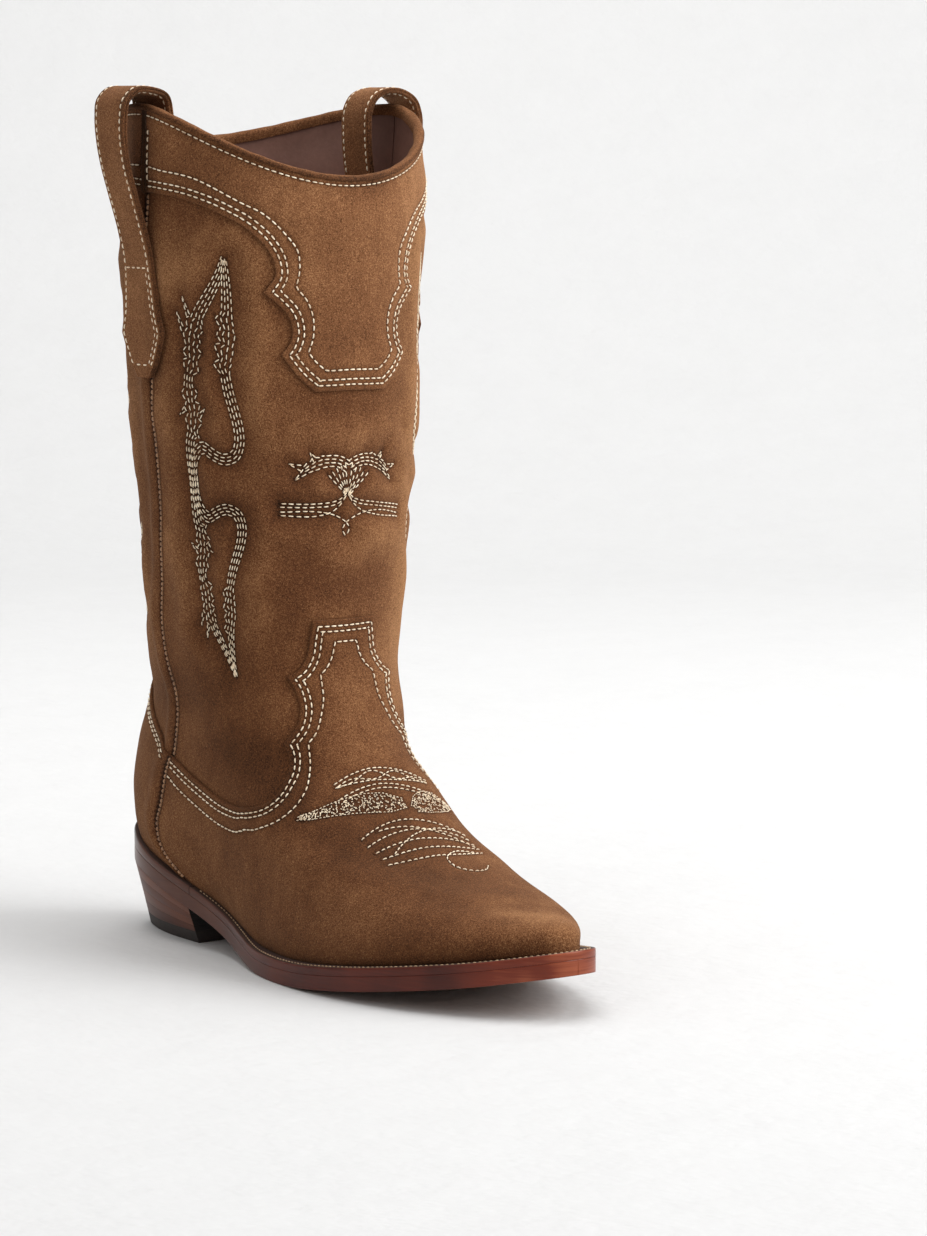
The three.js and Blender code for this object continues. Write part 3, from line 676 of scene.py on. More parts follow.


def edge_dyed(name, black, heel, fore, rough, coat, bands):
    """Polished, dyed leather edge with faint streaks along it, browner at the heel and redder in
    front; a low tone makes it near black. heel is a dark and a light colour; fore has a third, for
    the painted highlight at the toe, where the colour is also made lighter."""
    n = Nodes(name)
    streak = n.noise(0.0009, 3.0, 0.6, stretch=(26, 26, 1.0))
    cloud = n.noise(0.022, 2.0, 0.5)
    layers = n.noise(0.0042, 1.0, 0.4, stretch=(30, 30, 1.0))
    value = n.total((streak, 0.25), (cloud, 0.45), (layers, bands), (n.tone(), 0.55))
    value = n.math("ADD", value, 0.10 - bands / 2)
    # painted highlight: the edge's colour is made lighter towards the toe
    value = n.math("ADD", value, n.math("MULTIPLY", n.forwards(*TOE_PAINTED_HIGHLIGHT), 0.30))
    rear = n.ramp(value, [(0.0, black), (0.30, heel[0]), (0.72, heel[1])])
    front = n.ramp(value, [(0.0, black), (0.30, fore[0]), (0.72, fore[1]), (1.0, fore[2])])
    colour = n.mix(n.forwards(*HEEL_TO_FORE), rear, front)
    gloss = n.math("MULTIPLY_ADD", cloud, 0.18, rough - 0.09)
    n.bump((streak, 0.00010, 0.3), (cloud, 0.0006, 0.2))
    return n.finish(colour, gloss, Coat_Weight=coat, Coat_Roughness=0.12, Specular_IOR_Level=0.22)


def thread(name, dark, light):
    n = Nodes(name)
    ply = n.noise(0.00035, 2.0, 0.6)
    soil = n.noise(0.012, 2.0, 0.5)
    value = n.total((ply, 0.4), (soil, 0.4), (n.tone(), 0.14))
    colour = n.ramp(n.math("ADD", value, 0.08), [(0.2, dark), (0.65, light)])
    n.bump((ply, 0.0002, 0.6))
    return n.finish(colour, 0.65, Sheen_Weight=0.2)


def plain(name, dark, light, rough, size, metallic=0.0):
    n = Nodes(name)
    grain = n.noise(size, 4.0, 0.65)
    fine = n.noise(size * 0.2, 2.0, 0.6)
    value = n.total((grain, 0.7), (fine, 0.3))
    n.bump((grain, size * 0.1, 0.3), (fine, size * 0.03, 0.3))
    return n.finish(n.ramp(value, [(0.3, dark), (0.7, light)]), rough, Metallic=metallic)


STACK_BROWNS = ((82, 46, 33), (124, 77, 57))
MATERIALS = {
    "suede": suede("suede_brown", (38, 19, 7), (100, 61, 35), (170, 124, 84)),
    "suede_light": suede("suede_tan", (44, 23, 10), (118, 76, 47), (186, 138, 96)),
    # darker suede for the side piping, as painted shade of the seam groove
    "suede_piping_shade": suede("suede_cut_edge", (48, 28, 16), (84, 54, 34), (120, 84, 56)),
    "lining": smooth_leather("lining_leather", (104, 70, 58), (142, 102, 88), 0.55),
    # the third front colour of each edge is the painted highlight at the toe
    "sole": edge_dyed(
        "sole_edge", (22, 13, 10), ((68, 38, 28), (106, 66, 50)),
        ((50, 14, 6), (108, 41, 21), (178, 100, 66)), 0.33, 0.10, 0.0),
    "heel": edge_dyed(
        "heel_stack", (22, 14, 12), STACK_BROWNS, STACK_BROWNS + ((140, 90, 68),), 0.46, 0.0, 0.10),
    "sole_top": plain("welt_top", (44, 25, 18), (72, 44, 32), 0.8, 0.003),
    "sole_under": smooth_leather("sole_underside", (104, 66, 46), (150, 104, 76), 0.6),
    "black_paint": plain("breast_paint", (12, 10, 10), (26, 22, 21), 0.5, 0.004),
    "rubber": plain("heel_rubber", (30, 24, 21), (54, 44, 39), 0.7, 0.003),
    "thread": thread("thread_cream", (204, 174, 138), (255, 240, 212)),
    "thread_seam": thread("thread_seam", (112, 76, 48), (170, 126, 88)),
    "thread_tan": thread("thread_tan", (140, 108, 76), (208, 174, 134)),
    "board": plain("insole_leather", (150, 122, 90), (186, 158, 122), 0.85, 0.006),
    "cork": plain("pressed_cork", (120, 82, 48), (196, 154, 106), 0.95, 0.003),
    "cloth": plain("stiffener_cloth", (196, 182, 158), (226, 216, 196), 0.9, 0.002),
    "steel": plain("shank_steel", (128, 128, 128), (176, 176, 174), 0.4, 0.005, 1.0),
}


# ------------------------------------------------------------------ embroidery
TOOTH_PEAK = 0.7                # share of a tooth's length at which it is highest


def strand(points, half, count, teeth=()):
    """Parallel rows along a smooth path in mm. half is the half width at even shares of the path;
    teeth are (height, spacing, side, from share, to share) flame teeth on one side."""
    centre = curve_mm(points)
    left = to_left(centre)
    length = distances(np.asarray(points, float))[-1]
    keys = np.linspace(0, length, len(centre))
    share = keys / keys[-1]
    width = np.interp(share, np.linspace(0, 1, len(half)), half)
    rows = []
    for r in np.linspace(-1, 1, count):
        out = width * r
        for height, spacing, side, low, high in teeth:
            phase = (keys / spacing) % 1
            tooth = np.minimum(phase / TOOTH_PEAK, (1 - phase) / (1 - TOOTH_PEAK))
            window = (share > low) & (share < high)
            out = out + side * height * tooth * window * (0.5 + 0.5 * side * r)
        rows.append(centre + left * out[:, None])
    return rows


def barb(tip, root, wide):
    """A small pointed leaf, open at its root."""
    tip, root = np.asarray(tip, float), np.asarray(root, float)
    side = (tip - root)[::-1] * [-1, 1]
    side = side / np.linalg.norm(side) * wide
    return polyline(np.stack([root + side, tip, root - side]) / FLAT) * FLAT


SIDE_MOTIF_U, SIDE_MOTIF_T = 0.207, 0.690
SIDE_MOTIF_SCALE = 400          # mm for one unit of u or t
SIDE_MOTIF_REACH, SIDE_MOTIF_NARROWING = 89, 0.36
# points, half widths and teeth of the strands in the half above the middle, and tips and roots of barbs
SIDE_STRANDS = (
    ([(2.2, 0), (2.3, 6), (5.0, 12), (9.3, 15.2), (14, 12.8), (20.4, 10.8), (26.3, 13), (28.6, 18),
      (28.6, 24), (26.8, 31.5), (24.7, 38.5), (23.4, 45)], (2.2, 2.2, 2.2, 2.2), ()),
    ([(23.4, 45), (23.6, 51), (25.2, 58), (25.4, 66), (25.6, 73), (25.4, 80), (25, 86.5)],
     (2.2, 2.6, 2.5, 2.0, 1.1), ((3.4, 5.6, 1, 0.04, 0.52), (1.2, 5.6, -1, 0.1, 0.45))),
    ([(1.8, 0), (1.6, 10), (2.4, 17), (4.4, 23), (5.0, 28.5), (3.9, 34.5), (3.4, 40), (4.0, 44.5)],
     (2.3, 2.2, 2.2, 2.2, 2.3), ((3.0, 5.6, -1, 0.45, 0.90), (2.4, 5.6, 1, 0.50, 0.90))),
    ([(4.0, 44.5), (6, 49.6), (6.2, 56), (7.6, 60.5), (10.4, 65), (14.6, 70), (18.8, 75.2), (22.4, 80.6),
      (25, 86.5)], (2.3, 2.6, 2.6, 2.2, 1.8, 1.1), ((3.0, 5.0, -1, 0.0, 0.45), (2.4, 5.0, 1, 0.0, 0.40))),
)
SIDE_BARBS = (((2.6, 71.5), (5.6, 64.5)), ((-1.6, 66), (1.8, 59.5)), ((-3.2, 27), (1.2, 30.5)),
              ((12.0, 31), (8.4, 27.4)))


def side_motif():
    """Tall flame stitch on each side of the shaft, the same above and below its middle."""
    half = [row for points, widths, teeth in SIDE_STRANDS for row in strand(points, widths, 4, teeth)]
    half += [barb(tip, root, 1.0) for tip, root in SIDE_BARBS]
    placed = []
    for row in half:
        for turned in (row, row * [1, -1]):
            a, b = turned.T
            lean = 1 - SIDE_MOTIF_NARROWING * ramp(-b, 0, SIDE_MOTIF_REACH)
            place = [SIDE_MOTIF_U - a * lean / SIDE_MOTIF_SCALE, SIDE_MOTIF_T + b / SIDE_MOTIF_SCALE]
            placed.append(np.stack(place, -1))
    return placed


FRONT_MOTIF_T = 0.663
FRONT_MOTIF_SCALE = (362, 385)      # mm for one unit of u and of t
FRONT_BARS = (
    [(33, 3.7), (14, 3.7), (7, 4.4), (3.0, 5.8), (0.5, 8.0)],
    [(33, 2.2), (15, 2.2), (8, 2.7), (3.4, 4.3), (0.3, 7.2)],
    [(33, 0.1), (14, 0.1), (8, -0.9), (3, -2.8), (0, -4.6)],
    [(33, -1.4), (14, -1.5), (9, -0.5), (4.4, 2.2), (0.6, 6.8)],
)
FRONT_FAN = [(0.5, 6.8), (2.1, 10.5), (4.2, 14.5), (6.2, 18.5)]
FRONT_WING = [(0.2, 18.8), (4.2, 21.0), (9.3, 21.6), (15.5, 20.3), (21.5, 17.6)]
FRONT_BARBS = (((28.0, 20.4), (22.0, 18.6), 1.3), ((25.5, 13.6), (20.6, 17.6), 1.3),
               ((19.0, 25.4), (16.2, 21.8), 1.0))
FRONT_PENDANT = [(0, -4.6), (-1.7, -7.2), (0, -10.5), (1.7, -7.2), (0, -4.6)]


def front_motif():
    """Bars, a fan of rows and two wings in the middle of the shaft's front."""
    half = [curve_mm(bar) for bar in FRONT_BARS]
    half += strand(FRONT_FAN, (0.3, 1.8, 3.4, 4.9), 5)
    half += strand(FRONT_WING, (2.4, 2.2, 2.2, 2.1, 1.4), 4, ((1.2, 4.6, 1, 0.55, 0.9),))
    half += [barb(*where) for where in FRONT_BARBS]
    placed = []
    for row in half + [across(r) for r in half] + [curve_mm(FRONT_PENDANT)]:
        droop = 3.7 * (np.maximum(-row[:, 0] - 8, 0) / 25) ** 1.5       # on the inner side of the shaft
        level = row[:, 1] - droop
        place = [row[:, 0] / FRONT_MOTIF_SCALE[0], FRONT_MOTIF_T + level / FRONT_MOTIF_SCALE[1]]
        placed.append(np.stack(place, -1))
    return placed


def plan_to_chart(path):
    """[u, t] of points given in plan as [x, F] on the top of the foot, found by Newton's method."""
    x, F = path.T
    t = 0.40 - (F - 150) / 520
    u = -x / 270
    e = 1e-3
    for _ in range(14):
        p = upper(t, u)
        du = (upper(t, u + e) - p) / e
        dt = (upper(t + e, u) - p) / e
        miss_x, miss_f = x - p[:, 0], F + p[:, 1]
        det = du[:, 0] * -dt[:, 1] + dt[:, 0] * du[:, 1]
        det = np.where(np.abs(det) < 1e-3, 1e-3, det)
        step_u = (miss_x * -dt[:, 1] - dt[:, 0] * miss_f) / det
        step_t = (du[:, 0] * miss_f + du[:, 1] * miss_x) / det
        u = u + np.clip(step_u, -0.02, 0.02)
        t = np.clip(t + np.clip(step_t, -0.03, 0.03), 0.2, 0.5)
    return np.stack([u, t], -1)


END_LOOP = [(22, 190), (10, 191), (3, 196), (3, 202), (9, 206), (16, 205), (20, 201)]


def vamp_motif():
    """Crossing arcs, a fan of wrinkle lines and an end loop over the toes; rows in plan [x, F]."""
    s = np.linspace(-1, 1, 90)
    lens = 1 - s**2
    wave = 1.6 * lens * np.sin(5.6 * s)
    arcs = [(4.5 + 22.5 * s, 148.2 + 1.0 * lens), (4.0 + 22.5 * s, 149.2 + 4.2 * lens),
            (4.0 + 22 * s, 149.6 + 1.8 * lens + wave), (4.0 + 22 * s, 149.6 + 1.8 * lens - wave),
            (5 + 24 * s, 155.0 + 1.2 * s), (4 + 23 * s, 156.6 + 1.4 * s)]
    for k in range(5):
        start, end, sag = 172.5 + 4.4 * k, 177 + 3.0 * k, 3.0 - 1.7 * k
        arcs.append((2.5 + 24 * s, start + (end - start) * (s + 1) / 2 - sag * lens))
    arcs += [(5 + 20 * s, 181 - 5.0 * s - 3 * lens), (5 + 20 * s, 179 + 6.0 * s - 2 * lens)]
    rows = [np.stack(arc, -1) for arc in arcs] + [curve_mm(END_LOOP)]
    return [plan_to_chart(row) for row in rows]


# a leaf's spine in plan, and its half width at even shares of it
LEAVES = (
    ([(-33, 145.5), (-29, 150.5), (-22, 155.4), (-12, 159.8), (-2, 162.8), (6, 163.6)],
     (0.3, 1.5, 2.9, 4.0, 4.4, 2.0)),
    ([(8, 166.5), (13, 164.0), (20, 160.8), (27, 158), (33, 156)], (1.4, 4.2, 4.8, 3.9, 0.6)),
)
STIPPLE_DENSITY, STIPPLE_SPREAD, STIPPLE_REACH = 1.15, 0.88, 0.6


def leaf_stipple():
    """Outlines and many tiny stitches that fill a pair of leaves."""
    runs = []
    for spine, wide in LEAVES:
        centre = curve_mm(spine)
        left = to_left(centre)
        half = np.interp(np.linspace(0, 1, len(centre)), np.linspace(0, 1, len(wide)), wide)
        for side in (-1, 1):
            runs.append(centre + left * (side * half)[:, None])
        for _ in range(int(half.mean() * len(centre) * STIPPLE_DENSITY)):
            k = rng.integers(2, len(centre) - 2)
            middle = centre[k] + left[k] * half[k] * rng.uniform(-STIPPLE_SPREAD, STIPPLE_SPREAD)
            angle = rng.uniform(0, 2 * np.pi)
            reach = np.array([math.cos(angle), math.sin(angle)]) * STIPPLE_REACH
            runs.append(np.array([middle - reach, middle, middle + reach]))
    return [plan_to_chart(run) for run in runs]


def around_back(path, middle=0.5, narrowing=0.98):
    """The same path drawn about the back's middle line."""
    return np.stack([middle - path[:, 0] * narrowing, path[:, 1]], -1)


side_rows = side_motif()
front_rows = front_motif()
vamp_rows = vamp_motif()
stipple = leaf_stipple()
back_rows = [around_back(row, 0.55, 0.985) for row in side_rows]
quilted = side_rows + [across(row) for row in side_rows] + front_rows
quilted += back_rows + [across(row) for row in back_rows]
QUILT = tree_of(np.concatenate([on_upper(row) for row in quilted])[::2])


QUILT_DIP, QUILT_DIP_REACH = 0.75, 3.2
QUILT_PUFF, QUILT_PUFF_AT, QUILT_PUFF_REACH = 1.15, 9.5, 6.0
SHAFT_BAND = (0.44, 0.52)       # t from the foot's firm leather to the shaft's soft leather
FOOT_RIPPLE = 0.35              # share of the shaft's unevenness that the foot has
ANKLE_CREASE, ANKLE_T, ANKLE_REACH = 0.9, 0.43, 0.07


def swell(u, t, points):
    """How far the padded leather stands out: pulled in along the embroidery, puffed beside it."""
    d = nearest(QUILT, points)
    quilt = QUILT_PUFF * bell(d, QUILT_PUFF_AT, QUILT_PUFF_REACH) - QUILT_DIP * bell(d, 0, QUILT_DIP_REACH)
    shaft = ramp(t, *SHAFT_BAND)
    creases = ANKLE_CREASE * np.sin(points[:, 2] / 7.5 + 0.05 * points[:, 1]) * bell(t, ANKLE_T, ANKLE_REACH)
    uneven = ripple(points) * (FOOT_RIPPLE + (1 - FOOT_RIPPLE) * shaft)
    return quilt * shaft + uneven + creases * ramp(np.abs(u), 0.03, 0.15)


# painted light and shade on the nap, darker patches on the outer side, turned from the key lamp, and a
# lighter one at the front of the instep: strength, middle and reach in u, middle and reach in t
SHADES = [(-0.7, 0.2, 0.08, 0.38, 0.09), (-0.6, 0.06, 0.14, 0.25, 0.1), (0.3, 0, 0.07, 0.46, 0.07),
          (-0.35, 0.10, 0.12, 0.60, 0.12)]
# painted shade in the side seams' groove and along the welt, painted light on the inner side, which faces the
# key lamp, and a painted highlight over the toe
SEAM_SHADE, WELT_SHADE, INNER_SHINE, TOE_SHINE = -4.5, -0.5, 0.6, 1.25


def painted_light_and_shade(u, t, points):
    """Painted light and shade on the nap: a painted highlight in patches over the toe, painted light on the
    inner side and in a patch at the front, painted shade in patches on the outer side, along the welt, and in
    the groove where panels tuck under each other at the side seams.
    """
    x, y, z = points.T
    patches = np.clip(0.5 + 1.1 * ripple(points * [1.9, 1.5, 1.7] + 40), 0, 1)
    tone = TOE_SHINE * bell(-y, 250, 24) * bell(x, 2, 22) * bell(z, 36, 14) * (0.3 + 0.7 * patches)
    tone += INNER_SHINE * ramp(-u, 0.01, 0.12) * ramp(t, 0.4, 0.5) + WELT_SHADE * np.exp(-t / 0.012)
    for strength, middle_u, reach_u, middle_t, reach_t in SHADES:
        tone += strength * bell(u, middle_u, reach_u) * bell(t, middle_t, reach_t)
    return tone + SEAM_SHADE * bell(seam_distance(t, u), -1.1, 1.3)


# ------------------------------------------------------------------ panel outlines, as [u, t]
SCALLOP_LENGTH = 2.2
SEAM_STEP, SCALLOP_STEP = 0.9, 0.34
SMALLEST_GAP = 0.12             # mm; closer points of an outline are dropped


def seam_edge(low, high, out, scallop=0.0):
    """The side seam from low to high t, moved towards the back by out mm, with small scallops."""
    rough = np.linspace(low, high, 400)
    along = distances(upper(rough, seam(rough)))
    keys = np.linspace(0, along[-1], max(30, int(along[-1] / (SCALLOP_STEP if scallop else SEAM_STEP))))
    t = np.interp(keys, along, rough)
    reach = out + scallop * np.abs(np.sin(np.pi * keys / SCALLOP_LENGTH))
    return np.stack([seam(t) + reach / mm_per_u(t, seam(t)), t], -1)


def inset(path, distance):
    """The path moved sideways by mm and cut where it would cross itself."""
    moved = shifted(path, distance)
    gap = nearest(tree_of(on_upper(path)), on_upper(moved))
    return moved[gap > abs(distance) * 0.8]


def both_sides(half, middle=0.0):
    """A path from the middle line out to one side, continued over the other side."""
    return joined(across(half, middle)[::-1], half)


def symmetric(*runs, middle=0.0):
    """A closed outline from runs that lead from the foot of the middle line, out and up, to its top."""
    half = np.concatenate(runs)
    points = np.concatenate([half, across(half, middle)[::-1]])
    gaps = np.linalg.norm(np.diff(points * FLAT, axis=0, append=points[:1] * FLAT), axis=1)
    return points[gaps > SMALLEST_GAP]


FRONT_OUT, FRONT_SCALLOP = 0.2, 0.6     # the front panels lap over the back ones at the side seams
BACK_UNDER = -1.6
TOP_T = 0.9985
VAMP_JOIN_T = 0.268
COUNTER_JOIN_T = 0.262
SHAFT_TOP_T = 0.955
JOIN_GAP_T = 0.001

collar_half = joined(
    polyline([(0, 0.791), (0.044, 0.790)]),
    curve([(0.044, 0.790), (0.062, 0.803), (0.082, 0.825)]),
    curve([(0.082, 0.825), (0.074, 0.833), (0.069, 0.845), (0.072, 0.860), (0.085, 0.873), (0.100, 0.882)]),
    curve([(0.100, 0.882), (0.091, 0.892), (0.087, 0.898), (0.088, 0.911), (0.098, 0.925),
           (0.114, 0.935), (0.147, 0.943), (0.184, 0.945), (0.228, 0.943), (0.250, 0.942)]),
)
collar_row_half = joined(
    polyline([(0, 0.811), (0.033, 0.810)]),
    curve([(0.033, 0.810), (0.046, 0.820), (0.053, 0.828)]),
    curve([(0.053, 0.828), (0.048, 0.840), (0.047, 0.860), (0.054, 0.878), (0.066, 0.890)]),
    curve([(0.066, 0.890), (0.062, 0.907), (0.064, 0.925), (0.076, 0.938), (0.098, 0.952),
           (0.124, 0.957), (0.170, 0.963), (0.228, 0.960), (0.246, 0.960)]),
)
vamp_half = joined(
    polyline([(0, 0.542), (0.048, 0.542)]),
    curve([(0.048, 0.542), (0.052, 0.520), (0.055, 0.505), (0.066, 0.491), (0.089, 0.480)]),
    curve([(0.089, 0.480), (0.081, 0.465), (0.081, 0.455), (0.090, 0.440), (0.103, 0.430), (0.122, 0.418)]),
    curve([(0.122, 0.418), (0.122, 0.408), (0.130, 0.393), (0.151, 0.370), (0.180, 0.340), (0.208, 0.313),
           (0.242, 0.283), (0.265, 0.262), (0.287, 0.250), (0.303, 0.252), (0.320, 0.257),
           (0.336, VAMP_JOIN_T)]),
)
# the third row on the vamp runs level with its edge at the side, and in from it up the tongue
low_row = shifted(vamp_half, 4.4)
low_row = shifted(low_row, 4.5 + 2.6 * ramp(-low_row[:, 0], -0.33, -0.14))
low_row = low_row[low_row[:, 0] > 0.15]
vamp_row_half = joined(
    polyline([(0, 0.518), (0.017, 0.518)]),
    curve([(0.017, 0.518), (0.021, 0.503), (0.030, 0.491), (0.042, 0.483)]),
    curve([(0.042, 0.483), (0.046, 0.460), (0.053, 0.450), (0.069, 0.433), (0.087, 0.422)]),
    curve([(0.087, 0.422), (0.095, 0.405), (0.112, 0.382), tuple(low_row[0])]),
    low_row,
)
counter_half = curve([(0.345, COUNTER_JOIN_T), (0.355, 0.290), (0.381, 0.315), (0.430, 0.358),
                      (0.465, 0.388), (0.485, 0.398), (0.5, 0.401)])
shaft_low_half = curve([(0, 0.500), (0.030, 0.496), (0.060, 0.452), (0.100, 0.392), (0.150, 0.340),
                        (0.200, 0.292), (0.250, 0.247), (0.290, 0.228), (0.325, 0.236)])
back_collar_half = around_back(collar_half[::-1])
back_low = counter_half - [0, 0.022]


def to_seam(t):
    """A level edge from the middle of the front to the side seam."""
    return polyline([(0, t), (seam(t), t)], COARSE_STEP)


def from_seam(t):
    """A level edge from the side seam to the middle of the back."""
    return polyline([(seam(t), t), (0.5, t)], COARSE_STEP)


def front_panel(name, low_half, top_half, low_t, top_t, overlay, step):
    side = seam_edge(low_t, top_t, FRONT_OUT, FRONT_SCALLOP)
    return Panel(name, symmetric(low_half, side, top_half[::-1]), overlay, step)


def back_panel(name, low_half, top_half, low_t, top_t, overlay, step, bulge):
    """Halves are given from the seam to the middle of the back."""
    side = seam_edge(low_t, top_t, BACK_UNDER)
    return Panel(name, symmetric(low_half[::-1], side, top_half, middle=0.5), overlay, step, bulge)


vamp = front_panel(
    "suede_vamp", to_seam(0), vamp_half, JOIN_GAP_T, VAMP_JOIN_T - JOIN_GAP_T, True, 1.25)
shaft_front = front_panel(
    "suede_shaft_front", shaft_low_half, to_seam(SHAFT_TOP_T), 0.237, SHAFT_TOP_T, False, 1.5)
collar_front = front_panel(
    "suede_collar_front", collar_half, to_seam(TOP_T), 0.943, TOP_T - JOIN_GAP_T, True, 1.3)
counter = back_panel(
    "suede_counter", from_seam(0), counter_half, JOIN_GAP_T, COUNTER_JOIN_T - JOIN_GAP_T, True, 1.4, 0.7)
shaft_back = back_panel(
    "suede_shaft_back", back_low, from_seam(SHAFT_TOP_T), 0.242, SHAFT_TOP_T, False, 1.6, 1.0)
collar_back = back_panel(
    "suede_collar_back", back_collar_half, from_seam(TOP_T), 0.943, TOP_T - JOIN_GAP_T, True, 1.4, 1.0)


# ------------------------------------------------------------------ stitch rows on the panels
DOUBLE_ROW = (2.2, 4.4)
TOPLINE_ROW = 1.9
topline = np.stack([np.linspace(-0.252, 0.252, 600), np.full(600, 0.999)], -1)


def over_back(half):
    """A path from the side seam to the middle of the back, continued to the other seam."""
    return joined(half, across(half[::-1], 0.5))


for distance in DOUBLE_ROW:
    vamp.sew(inset(both_sides(vamp_half), distance))
    counter.sew(inset(over_back(counter_half), distance)[3:-3])
    collar_front.sew(inset(both_sides(collar_half), -distance)[2:-2])
    collar_back.sew(inset(over_back(back_collar_half), -distance)[2:-2])
vamp.sew(both_sides(vamp_row_half))
collar_front.sew(both_sides(collar_row_half))
collar_back.sew(over_back(around_back(collar_row_half[::-1])))
for panel, path in ((collar_front, topline), (collar_back, topline * [0.985, 1] + [0.5, 0])):
    panel.sew(shifted(path, TOPLINE_ROW)[6:-6], length=2.0, pitch=2.9, radius=0.27)
for side in (1, -1):
    collar_front.sew(seam_edge(0.948, 0.985, -1.6) * [side, 1])
    for panel, low, high in ((shaft_front, 0.272, 0.94), (vamp, 0.008, 0.264)):
        path = seam_edge(low, high, -0.15) * [side, 1]
        stitch_along(panel.name, *panel.place(path, -0.1),
                     length=1.95, pitch=2.2, radius=0.52, colour="thread_seam")
    for row in side_rows:
        shaft_front.sew(row * [side, 1], length=2.0, pitch=2.95, radius=0.225)
for row in front_rows:
    shaft_front.sew(row, length=2.0, pitch=2.95, radius=0.255)
for row in back_rows:
    for path in (row, across(row, 0.5)):
        shaft_back.sew(path, length=2.0, pitch=2.95, radius=0.255)
for row in vamp_rows:
    vamp.sew(row, length=1.8, pitch=2.7, radius=0.26)
for run in stipple:
    vamp.sew(run, length=0.95, pitch=1.6, radius=0.19)

vamp.build("vamp", MATERIALS["suede"], "suede_light")
counter.build("counter", MATERIALS["suede"], "suede")
shaft_front.build("shaft_front", MATERIALS["suede"], "suede")
shaft_back.build("shaft_back", MATERIALS["suede"], "suede")
collar_front.build("collar_front", MATERIALS["suede_light"], "suede_light")
collar_back.build("collar_back", MATERIALS["suede_light"], "suede_light")


# ------------------------------------------------------------------ linings, binding, side piping
LINING_FACE, LINING_THICKNESS = -3.45, 1.1
LINING_RISE = 1.3               # mm that the lining comes outwards under the binding
JOIN_T = 0.272                  # the shaft's lining and piping start here


def lining(name, node, u, t, closed=False):
    """Smooth leather on the inside; u and t are arrays [columns, levels]."""
    base, normals = upper(t, u), outward(t, u)
    soft = 0.5 * ripple(base.reshape(-1, 3) * 1.3).reshape(base.shape[:2])
    depth = LINING_FACE + LINING_RISE * ramp(t, *SKIVED_BAND) + soft * (1 - ramp(t, 0.94, 0.98))
    face = base + normals * depth[..., None]
    hidden = base + normals * (depth + LINING_THICKNESS)[..., None]
    sections = np.concatenate([face, hidden[:, ::-1]], 1)
    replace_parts(loft(name, sections, [MATERIALS["lining"]], closed), node)


levels = np.linspace(JOIN_T, TOP_T - JOIN_GAP_T, 190)[None, :]
columns = np.linspace(-1, 1, 130)[:, None]
lining("lining_shaft_front", "shaft_lining_front", columns * (seam(levels) - 0.001), levels)
lining("lining_shaft_back", "shaft_lining_back", 0.5 + columns * (0.5 - seam(levels) - 0.001), levels)
levels = np.linspace(0.012, 0.2665, 70)[None, :]
columns = np.linspace(0, 1, 260, endpoint=False)[:, None]
lining("lining_foot", "foot_lining", columns, levels, closed=True)

# mm outwards and upwards from the topline
BINDING_PROFILE = [
    (0.70, -0.9), (1.00, -1.1), (1.22, -0.95), (1.32, -0.6), (1.30, -0.1), (1.05, 0.45), (0.50, 0.95),
    (-0.20, 1.25), (-1.10, 1.20), (-2.05, 0.80), (-2.75, 0.15), (-3.05, -0.8), (-3.10, -2.6), (-2.95, -3.5),
    (-2.30, -3.4), (-2.25, -1.2), (-1.60, -0.5), (0.10, -0.5), (0.75, -1.2),
]
around = np.linspace(0, 1, 420, endpoint=False)
rim = upper(1.0, around)
rim_up = unit(rim - upper(0.99, around))
rim_out = outward(1.0, around)
uneven = 1 + 0.05 * np.sin(around * 2 * np.pi * 23) + 0.04 * np.sin(around * 2 * np.pi * 41 + 1)
level_rim = np.ones(len(around))
sections = np.stack([
    rim + rim_out * (out * uneven)[:, None] + rim_up * (high * (uneven if high > 0 else level_rim))[:, None]
    for out, high in BINDING_PROFILE
], 1)
# the binding is a little darker all round, and its outer face darker still as painted shade below the lighter
# top
binding_painted_shade = np.tile([-0.85 if out > 0.9 else -0.3 for out, high in BINDING_PROFILE], len(around))
binding = loft("binding", sections, [MATERIALS["suede_light"]], True, binding_painted_shade, 60)
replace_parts(binding, "topline_binding")

PIPING_SIDES, PIPING_RADIUS, PIPING_BACK = 10, 0.9, 1.7
for side, word in ((1, "lateral"), (-1, "medial")):
    t = np.linspace(JOIN_T, 0.985, 420)
    u = side * (seam(t) + PIPING_BACK / mm_per_u(t, seam(t)))
    base, normals = upper(t, u), outward(t, u)
    sideways = unit(np.cross(unit(np.gradient(base, axis=0)), normals))
    body = (LEATHER + OVERLAY_TOP) / 2 * ramp(t, 0.938, 0.942) * skived(t)
    middle = base + normals * (-1.0 + body)[:, None]
    angles = np.arange(PIPING_SIDES) * 2 * np.pi / PIPING_SIDES
    sections = np.stack([
        middle + (normals * math.cos(a) + sideways * math.sin(a)) * PIPING_RADIUS for a in angles
    ], 1)
    # painted shade: the piping is darkened to stand for the shade of the seam groove it lies in
    tone = np.full(sections.shape[:2], -0.9)
    piping = loft(f"piping_{word}", sections, [MATERIALS["suede_piping_shade"]], False, tone)
    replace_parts(piping, f"side_welt_{word}")


# ------------------------------------------------------------------ pull straps
STRAP_F = 78
STRAP_FOOT_Z = 241
STRAP_STATIONS = 260
